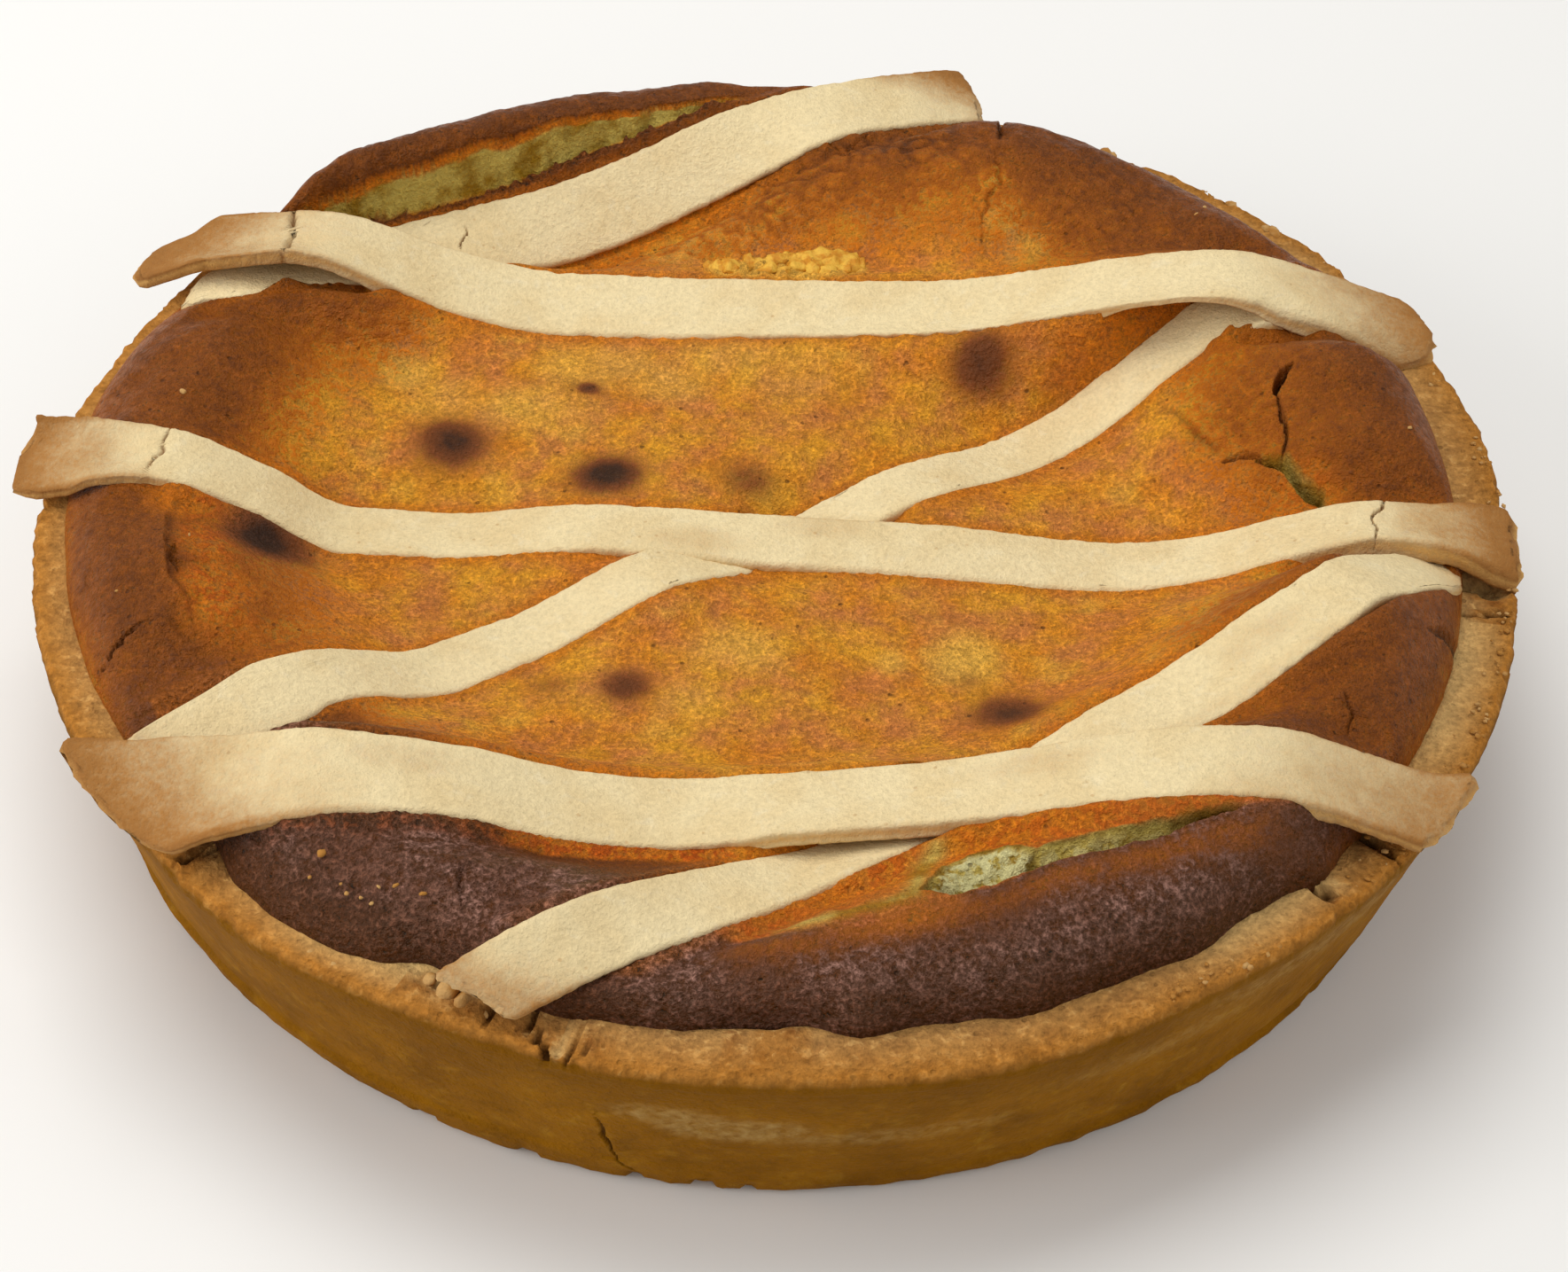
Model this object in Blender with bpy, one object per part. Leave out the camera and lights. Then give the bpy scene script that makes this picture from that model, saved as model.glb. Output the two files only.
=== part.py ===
"""Pastiera: a flared shortcrust shell, its risen ricotta filling and six lattice strips.

Lengths are metres, +Z is up and the origin is the centre of the base. The tables below hold
millimetres. A height in them is measured from the plane of the shell's rim, a bearing in
degrees from +X towards +Y, and a station is a distance along a strip from its middle.
"""
import math

import bmesh
import bpy

MM = 0.001

# Shell: a flared wall on a flat floor, with a broad soft rim.
SHELL_HEIGHT = 43.0
BASE_RADIUS = 118.0
RIM_RADIUS = 130.0
RIM_WIDTH = 9.6
RIM_CROWN = 0.5
FLOOR = 5.0
WALL = 6.4
BASE_ROUND = 1.4
SHELL_SEGMENTS = 80
# Unevenness of the hand-pressed rim: (waves round it, size, bearing of the first wave).
RIM_RADIUS_WAVES = ((3, 0.5, 20.0), (7, 0.35, 75.0), (13, 0.25, 10.0))
RIM_HEIGHT_WAVES = ((2, 0.35, 40.0), (5, 0.4, 100.0), (11, 0.3, 15.0))

# Filling: a sagging middle that rises to a rolled edge, held down by the strips.
GAP = 0.3
MIDDLE = -4.4
EDGE = -3.0
EDGE_RADIUS = 119.6
EDGE_DRIFT = 1.2
FILLING_SEGMENTS = 92
FILLING_RINGS = (0.0, 12.0, 26.0, 38.0, 48.0, 56.0, 63.0, 69.0, 74.5, 80.0, 85.0, 89.5,
                 93.5, 97.0, 100.5, 104.0, 107.0, 110.0, 112.7, 115.1, 117.1, 118.6, 119.6)
# By bearing: height of the roll's crest, its radius, where its inner slope starts, and the
# height of the sag there.
ROLL_CREST = ((-180, 6), (-166, 9), (-152, 7), (-140, 8), (-130, 10), (-118, 11.5), (-103, 9),
              (-90, 10), (-75, 12), (-60, 12.5), (-48, 12), (-35, 13), (-19, 12), (-11, 8),
              (-4, 6), (7, 12), (18, 15), (32, 12.5), (47, 12), (65, 14), (79, 12), (87, 12),
              (97, 15.5), (110, 17.5), (126, 19.5), (139, 18.5), (146, 12), (153, 5),
              (163, 8.5), (173, 7))
ROLL_RADIUS = ((-160, 107), (75, 107), (95, 111), (142, 111), (155, 107))
SLOPE_START = ((-180, 76), (-150, 62), (-120, 62), (-95, 58), (-60, 48), (-30, 50), (0, 58),
               (30, 50), (60, 52), (90, 62), (115, 80), (135, 76), (155, 74))
SAG = ((-180, -7), (-150, -6.5), (-120, -5), (-95, -4.5), (-60, -5.5), (-30, -6), (0, -6),
       (30, -7), (60, -4), (90, -2), (115, -2), (135, -2), (155, -4.5))
# How far a strip stands above the filling beside it: in the middle, and on the roll.
STAND_MIDDLE = 0.6
STAND_ROLL = 3.6
HOLD_REACH = 6.5
# Tears in the crust of the filling: (half width, depth, points of its line in plan).
TEARS = ((3.6, 5.0, ((-77, 72), (-60, 87), (-44, 96), (-27, 102), (-14, 105))),
         (4.2, 3.5, ((22, -99), (38, -94), (52, -90), (74, -83))),
         (2.2, 3.0, ((89, 26), (90, 14), (86, 10), (97, 2))),
         (2.2, 2.5, ((-104, -17), (-101, -31), (-97, -42), (-107, -46))))

# Strips of shortcrust.
STRIP_THICKNESS = 4.5
STRIP_ROUND = 1.3
STRIP_SECTIONS = 36
STRIP_PARTS = tuple(number / (STRIP_SECTIONS - 1) for number in range(STRIP_SECTIONS))
CUTTER_HEIGHT = 45.0
END_ROOM = 1.2
PINCH_START = 116.0
PINCH_END = 121.0


def eased(value):
    """Smooth step from 0 to 1."""
    value = min(max(value, 0.0), 1.0)
    return value * value * (3.0 - 2.0 * value)


def round_table(table, bearing):
    """Value of a table of (bearing, value) at a bearing, eased between its rows."""
    bearing = (bearing + 180.0) % 360.0 - 180.0
    rows = [(table[-1][0] - 360.0, table[-1][1]), *table, (table[0][0] + 360.0, table[0][1])]
    for (start, low), (end, high) in zip(rows, rows[1:]):
        if start <= bearing <= end:
            return low + (high - low) * eased((bearing - start) / (end - start))
    return rows[-1][1]


def line_table(table, station):
    """Value of a table of (station, value) on a smooth curve that doesn't overshoot."""
    station = min(max(station, table[0][0]), table[-1][0])
    slopes = [(b[1] - a[1]) / (b[0] - a[0]) for a, b in zip(table, table[1:])]
    index = 0
    while index < len(slopes) - 1 and station > table[index + 1][0]:
        index += 1
    tangents = [0.0, 0.0]
    for side, row in enumerate((index, index + 1)):
        if 0 < row < len(table) - 1 and slopes[row - 1] * slopes[row] > 0:
            tangents[side] = (slopes[row - 1] + slopes[row]) / 2
    (start, low), (end, high) = table[index], table[index + 1]
    length = end - start
    part = (station - start) / length
    rise = eased(part)
    leave = part * (1 - part) ** 2 * length * tangents[0]
    arrive = part ** 2 * (part - 1) * length * tangents[1]
    return low + (high - low) * rise + leave + arrive


def waves(table, bearing):
    """Sum of the waves round the shell at a bearing."""
    return sum(size * math.cos(math.radians(count * (bearing - start)))
               for count, size, start in table)


class Strip:
    """A strip of shortcrust: a straight band in plan that rides over the filling."""

    def __init__(self, name, bearing, offset, width, reach, heights, leans):
        self.name = name
        self.bearing = math.radians(bearing)
        self.offset = offset
        self.widths = width
        self.reach = reach
        self.heights = heights
        self.leans = leans

    def width(self, station):
        return line_table(self.widths, station)

    def lean(self, station):
        return math.radians(line_table(self.leans, station))

    def plan(self, station, across):
        """Plan position of a point `across` the strip's middle line."""
        cosine, sine = math.cos(self.bearing), math.sin(self.bearing)
        side = self.offset + across
        return station * cosine - side * sine, station * sine + side * cosine

    def along(self, x, y):
        """Station and distance across of a plan position."""
        cosine, sine = math.cos(self.bearing), math.sin(self.bearing)
        return x * cosine + y * sine, y * cosine - x * sine - self.offset

    def end(self, side, across=0.0):
        """Station where the strip is cut off, parallel to the rim."""
        reach = self.reach[0] if side < 0 else self.reach[1]
        return side * math.sqrt(reach ** 2 - (self.offset + across) ** 2)

    def hold(self, x, y, radius):
        """How firmly the strip holds the filling down at a place, and to what height."""
        station, across = self.along(x, y)
        half = self.width(station) / 2
        beside = max(0.0, abs(across) - half)
        past = max(0.0, self.end(-1) - station, station - self.end(1))
        grip = math.exp(-(beside ** 2 + past ** 2) / HOLD_REACH ** 2)
        grip *= 1.0 - eased((radius - 111.0) / 8.0)
        inside = min(max(across, -half), half)
        stand = STAND_MIDDLE + (STAND_ROLL - STAND_MIDDLE) * eased((radius - 70.0) / 30.0)
        height = line_table(self.heights, station) + inside * math.tan(self.lean(station))
        return grip, height - stand

    def point(self, part, side, inset, depth, grow=0.0, beyond=0.0):
        """A point of the draped strip, `depth` under its top, in the shell's own frame.

        `part` runs from 0 at one end to 1 at the other, and `side` is -1 or 1. The point
        moves `grow` out at the side and `beyond` on along the strip.
        """
        middle = self.end(-1) + (self.end(1) - self.end(-1)) * part
        across = side * (self.width(middle) / 2 - inset)
        station = self.end(-1, across) * (1.0 - part) + self.end(1, across) * part
        lean = self.lean(station)
        level = line_table(self.heights, station)
        level += across * math.sin(lean) - depth * math.cos(lean)
        sideways = across * math.cos(lean) + depth * math.sin(lean)
        if depth > STRIP_THICKNESS - 0.1:
            radius = math.hypot(*self.plan(station, sideways))
            pinch = eased((radius - PINCH_START) / (PINCH_END - PINCH_START))
            level += min(0.0, -level) * pinch
        x, y = self.plan(station + beyond, sideways + side * grow)
        return x, y, SHELL_HEIGHT + level

    def section(self, part):
        """Corners of the strip across it, its two upper edges rounded off."""
        return [self.point(part, side, inset, depth) for side, inset, depth in (
            (-1, 0.0, STRIP_THICKNESS), (1, 0.0, STRIP_THICKNESS), (1, 0.0, STRIP_ROUND),
            (1, STRIP_ROUND, 0.0), (-1, STRIP_ROUND, 0.0), (-1, 0.0, STRIP_ROUND))]

    def room(self, part, beyond=0.0):
        """Corners of the room that the strip takes up, open to the sky, a gap wider."""
        corners = {}
        for side in (-1, 1):
            low = self.point(part, side, 0.0, STRIP_THICKNESS, GAP, beyond)
            high = self.point(part, side, 0.0, STRIP_ROUND, GAP, beyond)
            outer = max(low, high, key=lambda corner: self.along(*corner[:2])[1] * side)
            corners[side] = ((low[0], low[1], low[2] - GAP), (*outer[:2], high[2]),
                             (*outer[:2], SHELL_HEIGHT + CUTTER_HEIGHT))
        return [*corners[-1][::-1], *corners[1]]


BACK = Strip(
    "strip_back", -3.7, 56.3, ((-134, 17), (-90, 16), (134, 16)), (132.5, 132.0),
    ((-134, 4.5), (-112, 8.5), (-91, 11.5), (-66, 3), (-46, -0.7), (0, 1), (30, 3.5),
     (62, 12), (80, 15.2), (97, 11.5), (115, 5), (132, 3)),
    ((-130, 6), (-91, 0), (-60, 9), (0, 9), (40, 8), (90, -4), (130, 4)))
MIDDLE_STRIP = Strip(
    "strip_middle", -2.7, -3.85, ((-134, 15), (-100, 13.8), (134, 13.8)), (134.0, 130.0),
    ((-136, 4), (-117, 7.7), (-104, 7.5), (-91, 1.7), (-76, -7), (-60, -7), (-30, -3.2),
     (0, -4), (30, -4.7), (56, -6.2), (75, -3), (91, 3.6), (104, 7.3), (118, 6.5), (132, 3.5)),
    ((-130, 4), (-90, -3), (-30, -4), (30, 0), (90, -8), (130, -6)))
FRONT = Strip(
    "strip_front", 1.6, -77.7, ((-106, 22), (-75, 17), (-50, 15.8), (106, 15.8)),
    (132.5, 130.5),
    ((-108, 6), (-90, 9), (-72, 13.3), (-52, 10.9), (-35, 5.5), (-18, 3.3), (0, 5.5),
     (26, 8.4), (52, 13.6), (66, 15.2), (80, 13.8), (92, 8.5), (106, 3.5)),
    ((-104, 20), (-85, 14), (-60, 2), (-20, 0), (8, -8), (60, 0), (100, 8)))
REAR_DIAGONAL = Strip(
    "strip_diagonal_rear", 25.7, 94.6, ((-90, 16.5), (90, 16.5)), (127.0, 131.5),
    ((-90, 1), (-70, 4.8), (-52, 3.8), (-26, 1.4), (-5, -0.6), (13, 1.6), (39, 8),
     (53, 10.3), (70, 8.5), (84, 6), (94, 4)),
    ((-85, -8), (-55, -5), (-30, 8), (-5, 32), (25, 36), (55, 6), (88, 10)))
MIDDLE_DIAGONAL = Strip(
    "strip_diagonal_middle", 32.0, -1.0, ((-125, 12.5), (125, 12.5)), (124.0, 106.0),
    ((-126, 3), (-102, 4.2), (-88, 2.5), (-66, -6.4), (-52, -6.4), (-26, -2.4), (-12, -5.5),
     (0, -9), (12, -7), (26, -5.2), (50, -8.3), (65, -5.9), (80, 1.2), (92, 6), (110, 6.3)),
    ((-120, 12), (-80, 6), (-40, -2), (20, -6), (60, -5), (105, -8)))
FRONT_DIAGONAL = Strip(
    "strip_diagonal_front", 31.7, -79.15, ((-100, 13), (90, 13)), (125.0, 119.0),
    ((-102, 5), (-78, 9.4), (-62, 7.2), (-45, 3), (-26, -2), (-10, -1), (13, 5), (30, 7.2),
     (52, 13.9), (62, 15.3), (78, 10), (92, 3)),
    ((-98, 14), (-70, 8), (-35, -22), (-10, -20), (20, -7), (80, -6)))
UPPER_STRIPS = (BACK, MIDDLE_STRIP, FRONT)
LOWER_STRIPS = (REAR_DIAGONAL, MIDDLE_DIAGONAL, FRONT_DIAGONAL)


def edge_shift(bearing):
    """How far the filling's edge moves out at a bearing, as it isn't centred in the shell."""
    return -EDGE_DRIFT * math.cos(math.radians(bearing))


def open_height(radius, bearing):
    """Height of the filling where no strip holds it down."""
    crest = round_table(ROLL_CREST, bearing)
    crest_radius = round_table(ROLL_RADIUS, bearing)
    start = round_table(SLOPE_START, bearing)
    sag = round_table(SAG, bearing)
    edge_radius = EDGE_RADIUS + edge_shift(bearing)
    if radius < start:
        return MIDDLE + (sag - MIDDLE) * eased(radius / start)
    if radius < crest_radius:
        return sag + (crest - sag) * eased((radius - start) / (crest_radius - start))
    fall = min((radius - crest_radius) / (edge_radius - crest_radius), 1.0)
    return EDGE + (crest - EDGE) * math.sqrt(1.0 - fall ** 2)


def tear_depth(x, y):
    """Depth of the tears at a place."""
    deepest = 0.0
    for half_width, depth, points in TEARS:
        lengths = [math.dist(a, b) for a, b in zip(points, points[1:])]
        total, done, nearest = sum(lengths), 0.0, (math.inf, 0.0)
        for (ax, ay), (bx, by), length in zip(points, points[1:], lengths):
            part = ((x - ax) * (bx - ax) + (y - ay) * (by - ay)) / length ** 2
            part = min(max(part, 0.0), 1.0)
            away = math.hypot(x - ax - (bx - ax) * part, y - ay - (by - ay) * part)
            nearest = min(nearest, (away, (done + part * length) / total))
            done += length
        taper = math.sqrt(math.sin(math.pi * min(max(nearest[1], 0.03), 0.97)))
        deepest = max(deepest, depth * taper * (1.0 - eased(nearest[0] / half_width - 0.5)))
    return deepest


def filling_height(x, y):
    """Height of the filling at a place, from the open surface and what the strips hold."""
    radius, bearing = math.hypot(x, y), math.degrees(math.atan2(y, x))
    free, held, total = 1.0, 0.0, 0.0
    for strip in UPPER_STRIPS + LOWER_STRIPS:
        grip, height = strip.hold(x, y, radius)
        free *= 1.0 - grip
        held += grip * height
        total += grip
    level = (free * open_height(radius, bearing) + held) / (free + total)
    return level - tear_depth(x, y)


def material(name, colour, roughness):
    """A plain finish for one kind of baked surface."""
    finish = bpy.data.materials.new(name)
    finish.use_nodes = True
    shader = finish.node_tree.nodes["Principled BSDF"]
    shader.inputs["Base Color"].default_value = (*colour, 1.0)
    shader.inputs["Roughness"].default_value = roughness
    shader.inputs["Metallic"].default_value = 0.0
    return finish


def make_object(name, mesh_data, finish=None):
    """Put a finished mesh in the scene, in metres, smooth but for its sharp edges.

    Bent four-sided faces are split across their shorter diagonal, so that a strip and the
    room cut for it bend alike.
    """
    bmesh.ops.scale(mesh_data, vec=(MM, MM, MM), verts=mesh_data.verts)
    bmesh.ops.recalc_face_normals(mesh_data, faces=mesh_data.faces)
    bmesh.ops.triangulate(mesh_data, faces=mesh_data.faces, quad_method='SHORT_EDGE')
    mesh = bpy.data.meshes.new(name)
    mesh_data.to_mesh(mesh)
    mesh_data.free()
    mesh.shade_smooth()
    mesh.set_sharp_from_angle(angle=math.radians(50.0))
    if finish:
        mesh.materials.append(finish)
    made = bpy.data.objects.new(name, mesh)
    bpy.context.scene.collection.objects.link(made)
    return made


def turned(profile, segments):
    """A closed solid turned about Z from a profile that starts and ends on the axis."""
    shape = bmesh.new()
    corners = [shape.verts.new((radius, 0.0, height)) for radius, height in profile]
    edges = [shape.edges.new(pair) for pair in zip(corners, corners[1:])]
    bmesh.ops.spin(shape, geom=corners + edges, cent=(0, 0, 0), axis=(0, 0, 1),
                   angle=math.tau, steps=segments, use_duplicate=False)
    bmesh.ops.remove_doubles(shape, verts=shape.verts, dist=0.001)
    return shape


def shell_profile():
    """Half section of the shell: up the outside, over the rim, down the inside."""
    flare = (RIM_RADIUS - BASE_RADIUS) / SHELL_HEIGHT
    inner = RIM_RADIUS - RIM_WIDTH
    floor_radius = BASE_RADIUS - WALL + FLOOR * flare
    return ((0.0, 0.0), (BASE_RADIUS - BASE_ROUND, 0.0), (BASE_RADIUS, BASE_ROUND),
            (BASE_RADIUS + 14.0 * flare, 14.0), (BASE_RADIUS + 28.0 * flare, 28.0),
            (RIM_RADIUS - 0.3, SHELL_HEIGHT - 3.0), (RIM_RADIUS, SHELL_HEIGHT - 1.3),
            (RIM_RADIUS - 1.2, SHELL_HEIGHT), (RIM_RADIUS - 4.5, SHELL_HEIGHT + RIM_CROWN),
            (inner + 1.6, SHELL_HEIGHT - 0.4), (inner, SHELL_HEIGHT - 2.0),
            (inner - 1.2, SHELL_HEIGHT - 8.0), (floor_radius, FLOOR + 3.0),
            (floor_radius - 3.0, FLOOR), (0.0, FLOOR))


def build_shell(finish):
    """The shortcrust shell, pressed by hand so that its rim isn't quite round or level."""
    shape = turned(shell_profile(), SHELL_SEGMENTS)
    for vert in shape.verts:
        radius = math.hypot(vert.co.x, vert.co.y)
        if radius < 1.0:
            continue
        bearing = math.degrees(math.atan2(vert.co.y, vert.co.x))
        high = eased(vert.co.z / SHELL_HEIGHT)
        outer = eased((radius - (RIM_RADIUS - RIM_WIDTH)) / (RIM_WIDTH / 2))
        moved = radius + high * outer * waves(RIM_RADIUS_WAVES, bearing)
        if vert.co.z > FLOOR - 0.1 and radius < RIM_RADIUS - RIM_WIDTH + 2.0:
            moved += edge_shift(bearing) * eased(radius / EDGE_RADIUS)
        vert.co.x *= moved / radius
        vert.co.y *= moved / radius
        if vert.co.z > SHELL_HEIGHT - 4.0:
            vert.co.z += waves(RIM_HEIGHT_WAVES, bearing)
    return make_object("crust", shape, finish)


def build_filling(finish):
    """The filling: it stands in the shell, clear of it by the gap, and rolls over its rim."""
    flare = (RIM_RADIUS - BASE_RADIUS) / SHELL_HEIGHT
    floor_radius = BASE_RADIUS - WALL + FLOOR * flare
    profile = [(radius, SHELL_HEIGHT) for radius in FILLING_RINGS]
    profile += [(RIM_RADIUS - RIM_WIDTH - 1.2 - GAP - 0.2, SHELL_HEIGHT - 8.0),
                (floor_radius - GAP, FLOOR + 3.0 + GAP),
                (floor_radius - 3.0 - GAP, FLOOR + GAP), (0.0, FLOOR + GAP)]
    shape = turned(profile, FILLING_SEGMENTS)
    for vert in shape.verts:
        radius = math.hypot(vert.co.x, vert.co.y)
        is_top = vert.co.z > SHELL_HEIGHT - 0.01
        if radius > 1.0:
            bearing = math.degrees(math.atan2(vert.co.y, vert.co.x))
            near_edge = eased((radius - 90.0) / (EDGE_RADIUS - 90.0))
            moved = radius + edge_shift(bearing) * (near_edge if is_top else
                                                    eased(radius / EDGE_RADIUS))
            vert.co.x *= moved / radius
            vert.co.y *= moved / radius
        if is_top:
            vert.co.z = SHELL_HEIGHT + filling_height(vert.co.x, vert.co.y)
    return make_object("filling", shape, finish)


def extruded(sections):
    """A closed bar, extruded from its first section through all the others."""
    shape = bmesh.new()
    end = shape.faces.new([shape.verts.new(corner) for corner in sections[0]])
    for number, section in enumerate(sections[1:]):
        grown = bmesh.ops.extrude_face_region(shape, geom=[end])["geom"]
        if number:
            bmesh.ops.delete(shape, geom=[end], context='FACES_ONLY')
        end = next(item for item in grown if isinstance(item, bmesh.types.BMFace))
        for vert, corner in zip(end.verts, section):
            vert.co = corner
    return shape


def build_strip(strip, finish):
    """A strip, draped over the filling and the rim."""
    sections = [strip.section(part) for part in STRIP_PARTS]
    return make_object(strip.name, extruded(sections), finish)


def build_room(strip):
    """The room of a strip, to be cut out of what lies under it."""
    sections = [strip.room(0.0, -END_ROOM)]
    sections += [strip.room(part) for part in STRIP_PARTS]
    sections += [strip.room(1.0, END_ROOM)]
    return make_object(strip.name + "_room", extruded(sections))


def cut(target, cutters):
    """Cut the cutters' room out of an object."""
    group = bpy.data.collections.new(target.name + "_cutters")
    for cutter in cutters:
        group.objects.link(cutter)
    modifier = target.modifiers.new("Room for the strips", 'BOOLEAN')
    modifier.operation = 'DIFFERENCE'
    modifier.operand_type = 'COLLECTION'
    modifier.collection = group
    modifier.solver = 'EXACT'
    bpy.context.view_layer.objects.active = target
    bpy.ops.object.modifier_apply(modifier=modifier.name)
    bpy.data.collections.remove(group)


def main():
    """Model the pastiera."""
    for thing in list(bpy.data.objects):
        bpy.data.objects.remove(thing, do_unlink=True)
    shortcrust = material("Golden shortcrust", (0.55, 0.30, 0.10), 0.75)
    pale_crust = material("Pale shortcrust", (0.78, 0.60, 0.34), 0.7)
    browned = material("Browned filling", (0.42, 0.15, 0.04), 0.45)
    shell = build_shell(shortcrust)
    filling = build_filling(browned)
    lower = [build_strip(strip, pale_crust) for strip in LOWER_STRIPS]
    for strip in UPPER_STRIPS:
        build_strip(strip, pale_crust)
    upper_rooms = [build_room(strip) for strip in UPPER_STRIPS]
    lower_rooms = [build_room(strip) for strip in LOWER_STRIPS]
    cut(shell, upper_rooms + lower_rooms)
    cut(filling, upper_rooms + lower_rooms)
    for strip in lower:
        cut(strip, upper_rooms)
    for room in upper_rooms + lower_rooms:
        bpy.data.objects.remove(room, do_unlink=True)


main()
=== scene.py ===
"""Dress the pastiera: a fine shell, filling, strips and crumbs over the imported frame.

Sizes and tables are millimetres in the frame's own axes. Heights in the tables are measured
from the plane of the shell's rim, bearings in degrees from +X towards +Y, and a station is a
distance along a strip from its middle. Meshes are scaled to metres when they are finished.
"""
from __future__ import annotations

import logging
import math
from collections.abc import Sequence
from dataclasses import dataclass, field, replace
from enum import Enum

import bmesh
import bpy
import numpy as np
from mathutils import Matrix, Vector


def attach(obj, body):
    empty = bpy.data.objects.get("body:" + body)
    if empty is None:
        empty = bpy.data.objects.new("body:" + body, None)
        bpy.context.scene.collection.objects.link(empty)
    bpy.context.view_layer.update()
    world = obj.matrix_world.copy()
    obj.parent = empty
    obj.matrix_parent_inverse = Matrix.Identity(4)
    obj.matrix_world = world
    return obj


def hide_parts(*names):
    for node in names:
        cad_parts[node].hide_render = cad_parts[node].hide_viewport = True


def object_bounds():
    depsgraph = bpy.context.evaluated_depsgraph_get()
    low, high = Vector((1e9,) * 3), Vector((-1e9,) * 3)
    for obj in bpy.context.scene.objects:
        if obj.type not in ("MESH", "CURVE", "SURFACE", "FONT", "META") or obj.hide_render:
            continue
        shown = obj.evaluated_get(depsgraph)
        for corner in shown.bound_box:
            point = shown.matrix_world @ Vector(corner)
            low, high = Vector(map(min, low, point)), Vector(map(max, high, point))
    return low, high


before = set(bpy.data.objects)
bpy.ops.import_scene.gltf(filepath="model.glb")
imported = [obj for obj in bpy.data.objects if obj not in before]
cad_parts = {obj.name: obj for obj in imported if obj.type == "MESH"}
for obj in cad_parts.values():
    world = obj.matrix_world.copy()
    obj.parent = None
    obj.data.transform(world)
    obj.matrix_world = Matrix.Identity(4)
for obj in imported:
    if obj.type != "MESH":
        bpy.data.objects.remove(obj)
CAD_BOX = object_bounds()
log = logging.getLogger("pastiera")

# A millimetre in metres, the rim's height, and millimetres round the wall for a degree.
MM = 0.001
RIM = 43.0
WALL_SCALE = 2.1

Rows = tuple[tuple[float, float], ...]
Values = np.ndarray
Triples = tuple[tuple[float, float, float], ...]


def unit(value: Values) -> Values:
    """Value kept from 0 to 1."""
    return np.clip(value, 0.0, 1.0)


def eased(value: Values) -> Values:
    """Smooth step from 0 to 1."""
    value = unit(value)
    return value * value * (3.0 - 2.0 * value)


def step(value: Values, none: float, full: float) -> Values:
    """Smooth step of a value from none, where it is 0, to full, where it is 1."""
    return eased((value - none) / (full - none))


def bell(value: Values, width: float) -> Values:
    """Smooth hump, 1 where the value is 0 and fading over a width to both sides."""
    return np.exp(-(value / width) ** 2)


def polar(x: Values, y: Values) -> tuple[Values, Values]:
    """Radius and bearing, in degrees, of places in plan."""
    return np.hypot(x, y), np.degrees(np.arctan2(y, x))


def spots(x: Values, y: Values, z: Values | float = 0.0) -> Values:
    """Places with their three numbers in the last axis."""
    return np.stack(np.broadcast_arrays(x, y, z), axis=-1)


def tone(red: float, green: float, blue: float) -> tuple[float, float, float, float]:
    """Linear colour of a screen colour of 0 to 255.

    Args:
        red, green, blue: its channels on the screen.

    Returns:
        Its linear channels and full cover.
    """
    def linear(level: float) -> float:
        """Linear level of one channel."""
        level /= 255.0
        return level / 12.92 if level <= 0.04045 else ((level + 0.055) / 1.055) ** 2.4
    return (linear(red), linear(green), linear(blue), 1.0)


class Masks(dict[str, Values]):
    """Numbers from 0 to 1 for every point, by name, that a finish reads."""

    def more(self, name: str, value: Values) -> None:
        """Raise a mask to a value where it is less."""
        self[name] = np.maximum(self[name], value)

    def less(self, name: str, part: Values) -> None:
        """Take a part from 0 to 1 of a mask away."""
        self[name] = self[name] * (1.0 - part)


class Slot(Enum):
    """Names of the finishes."""

    CRUST = "crust"
    FILLING = "filling"
    STRIPS = "strips"


# ---- noise, tables and paths

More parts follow.
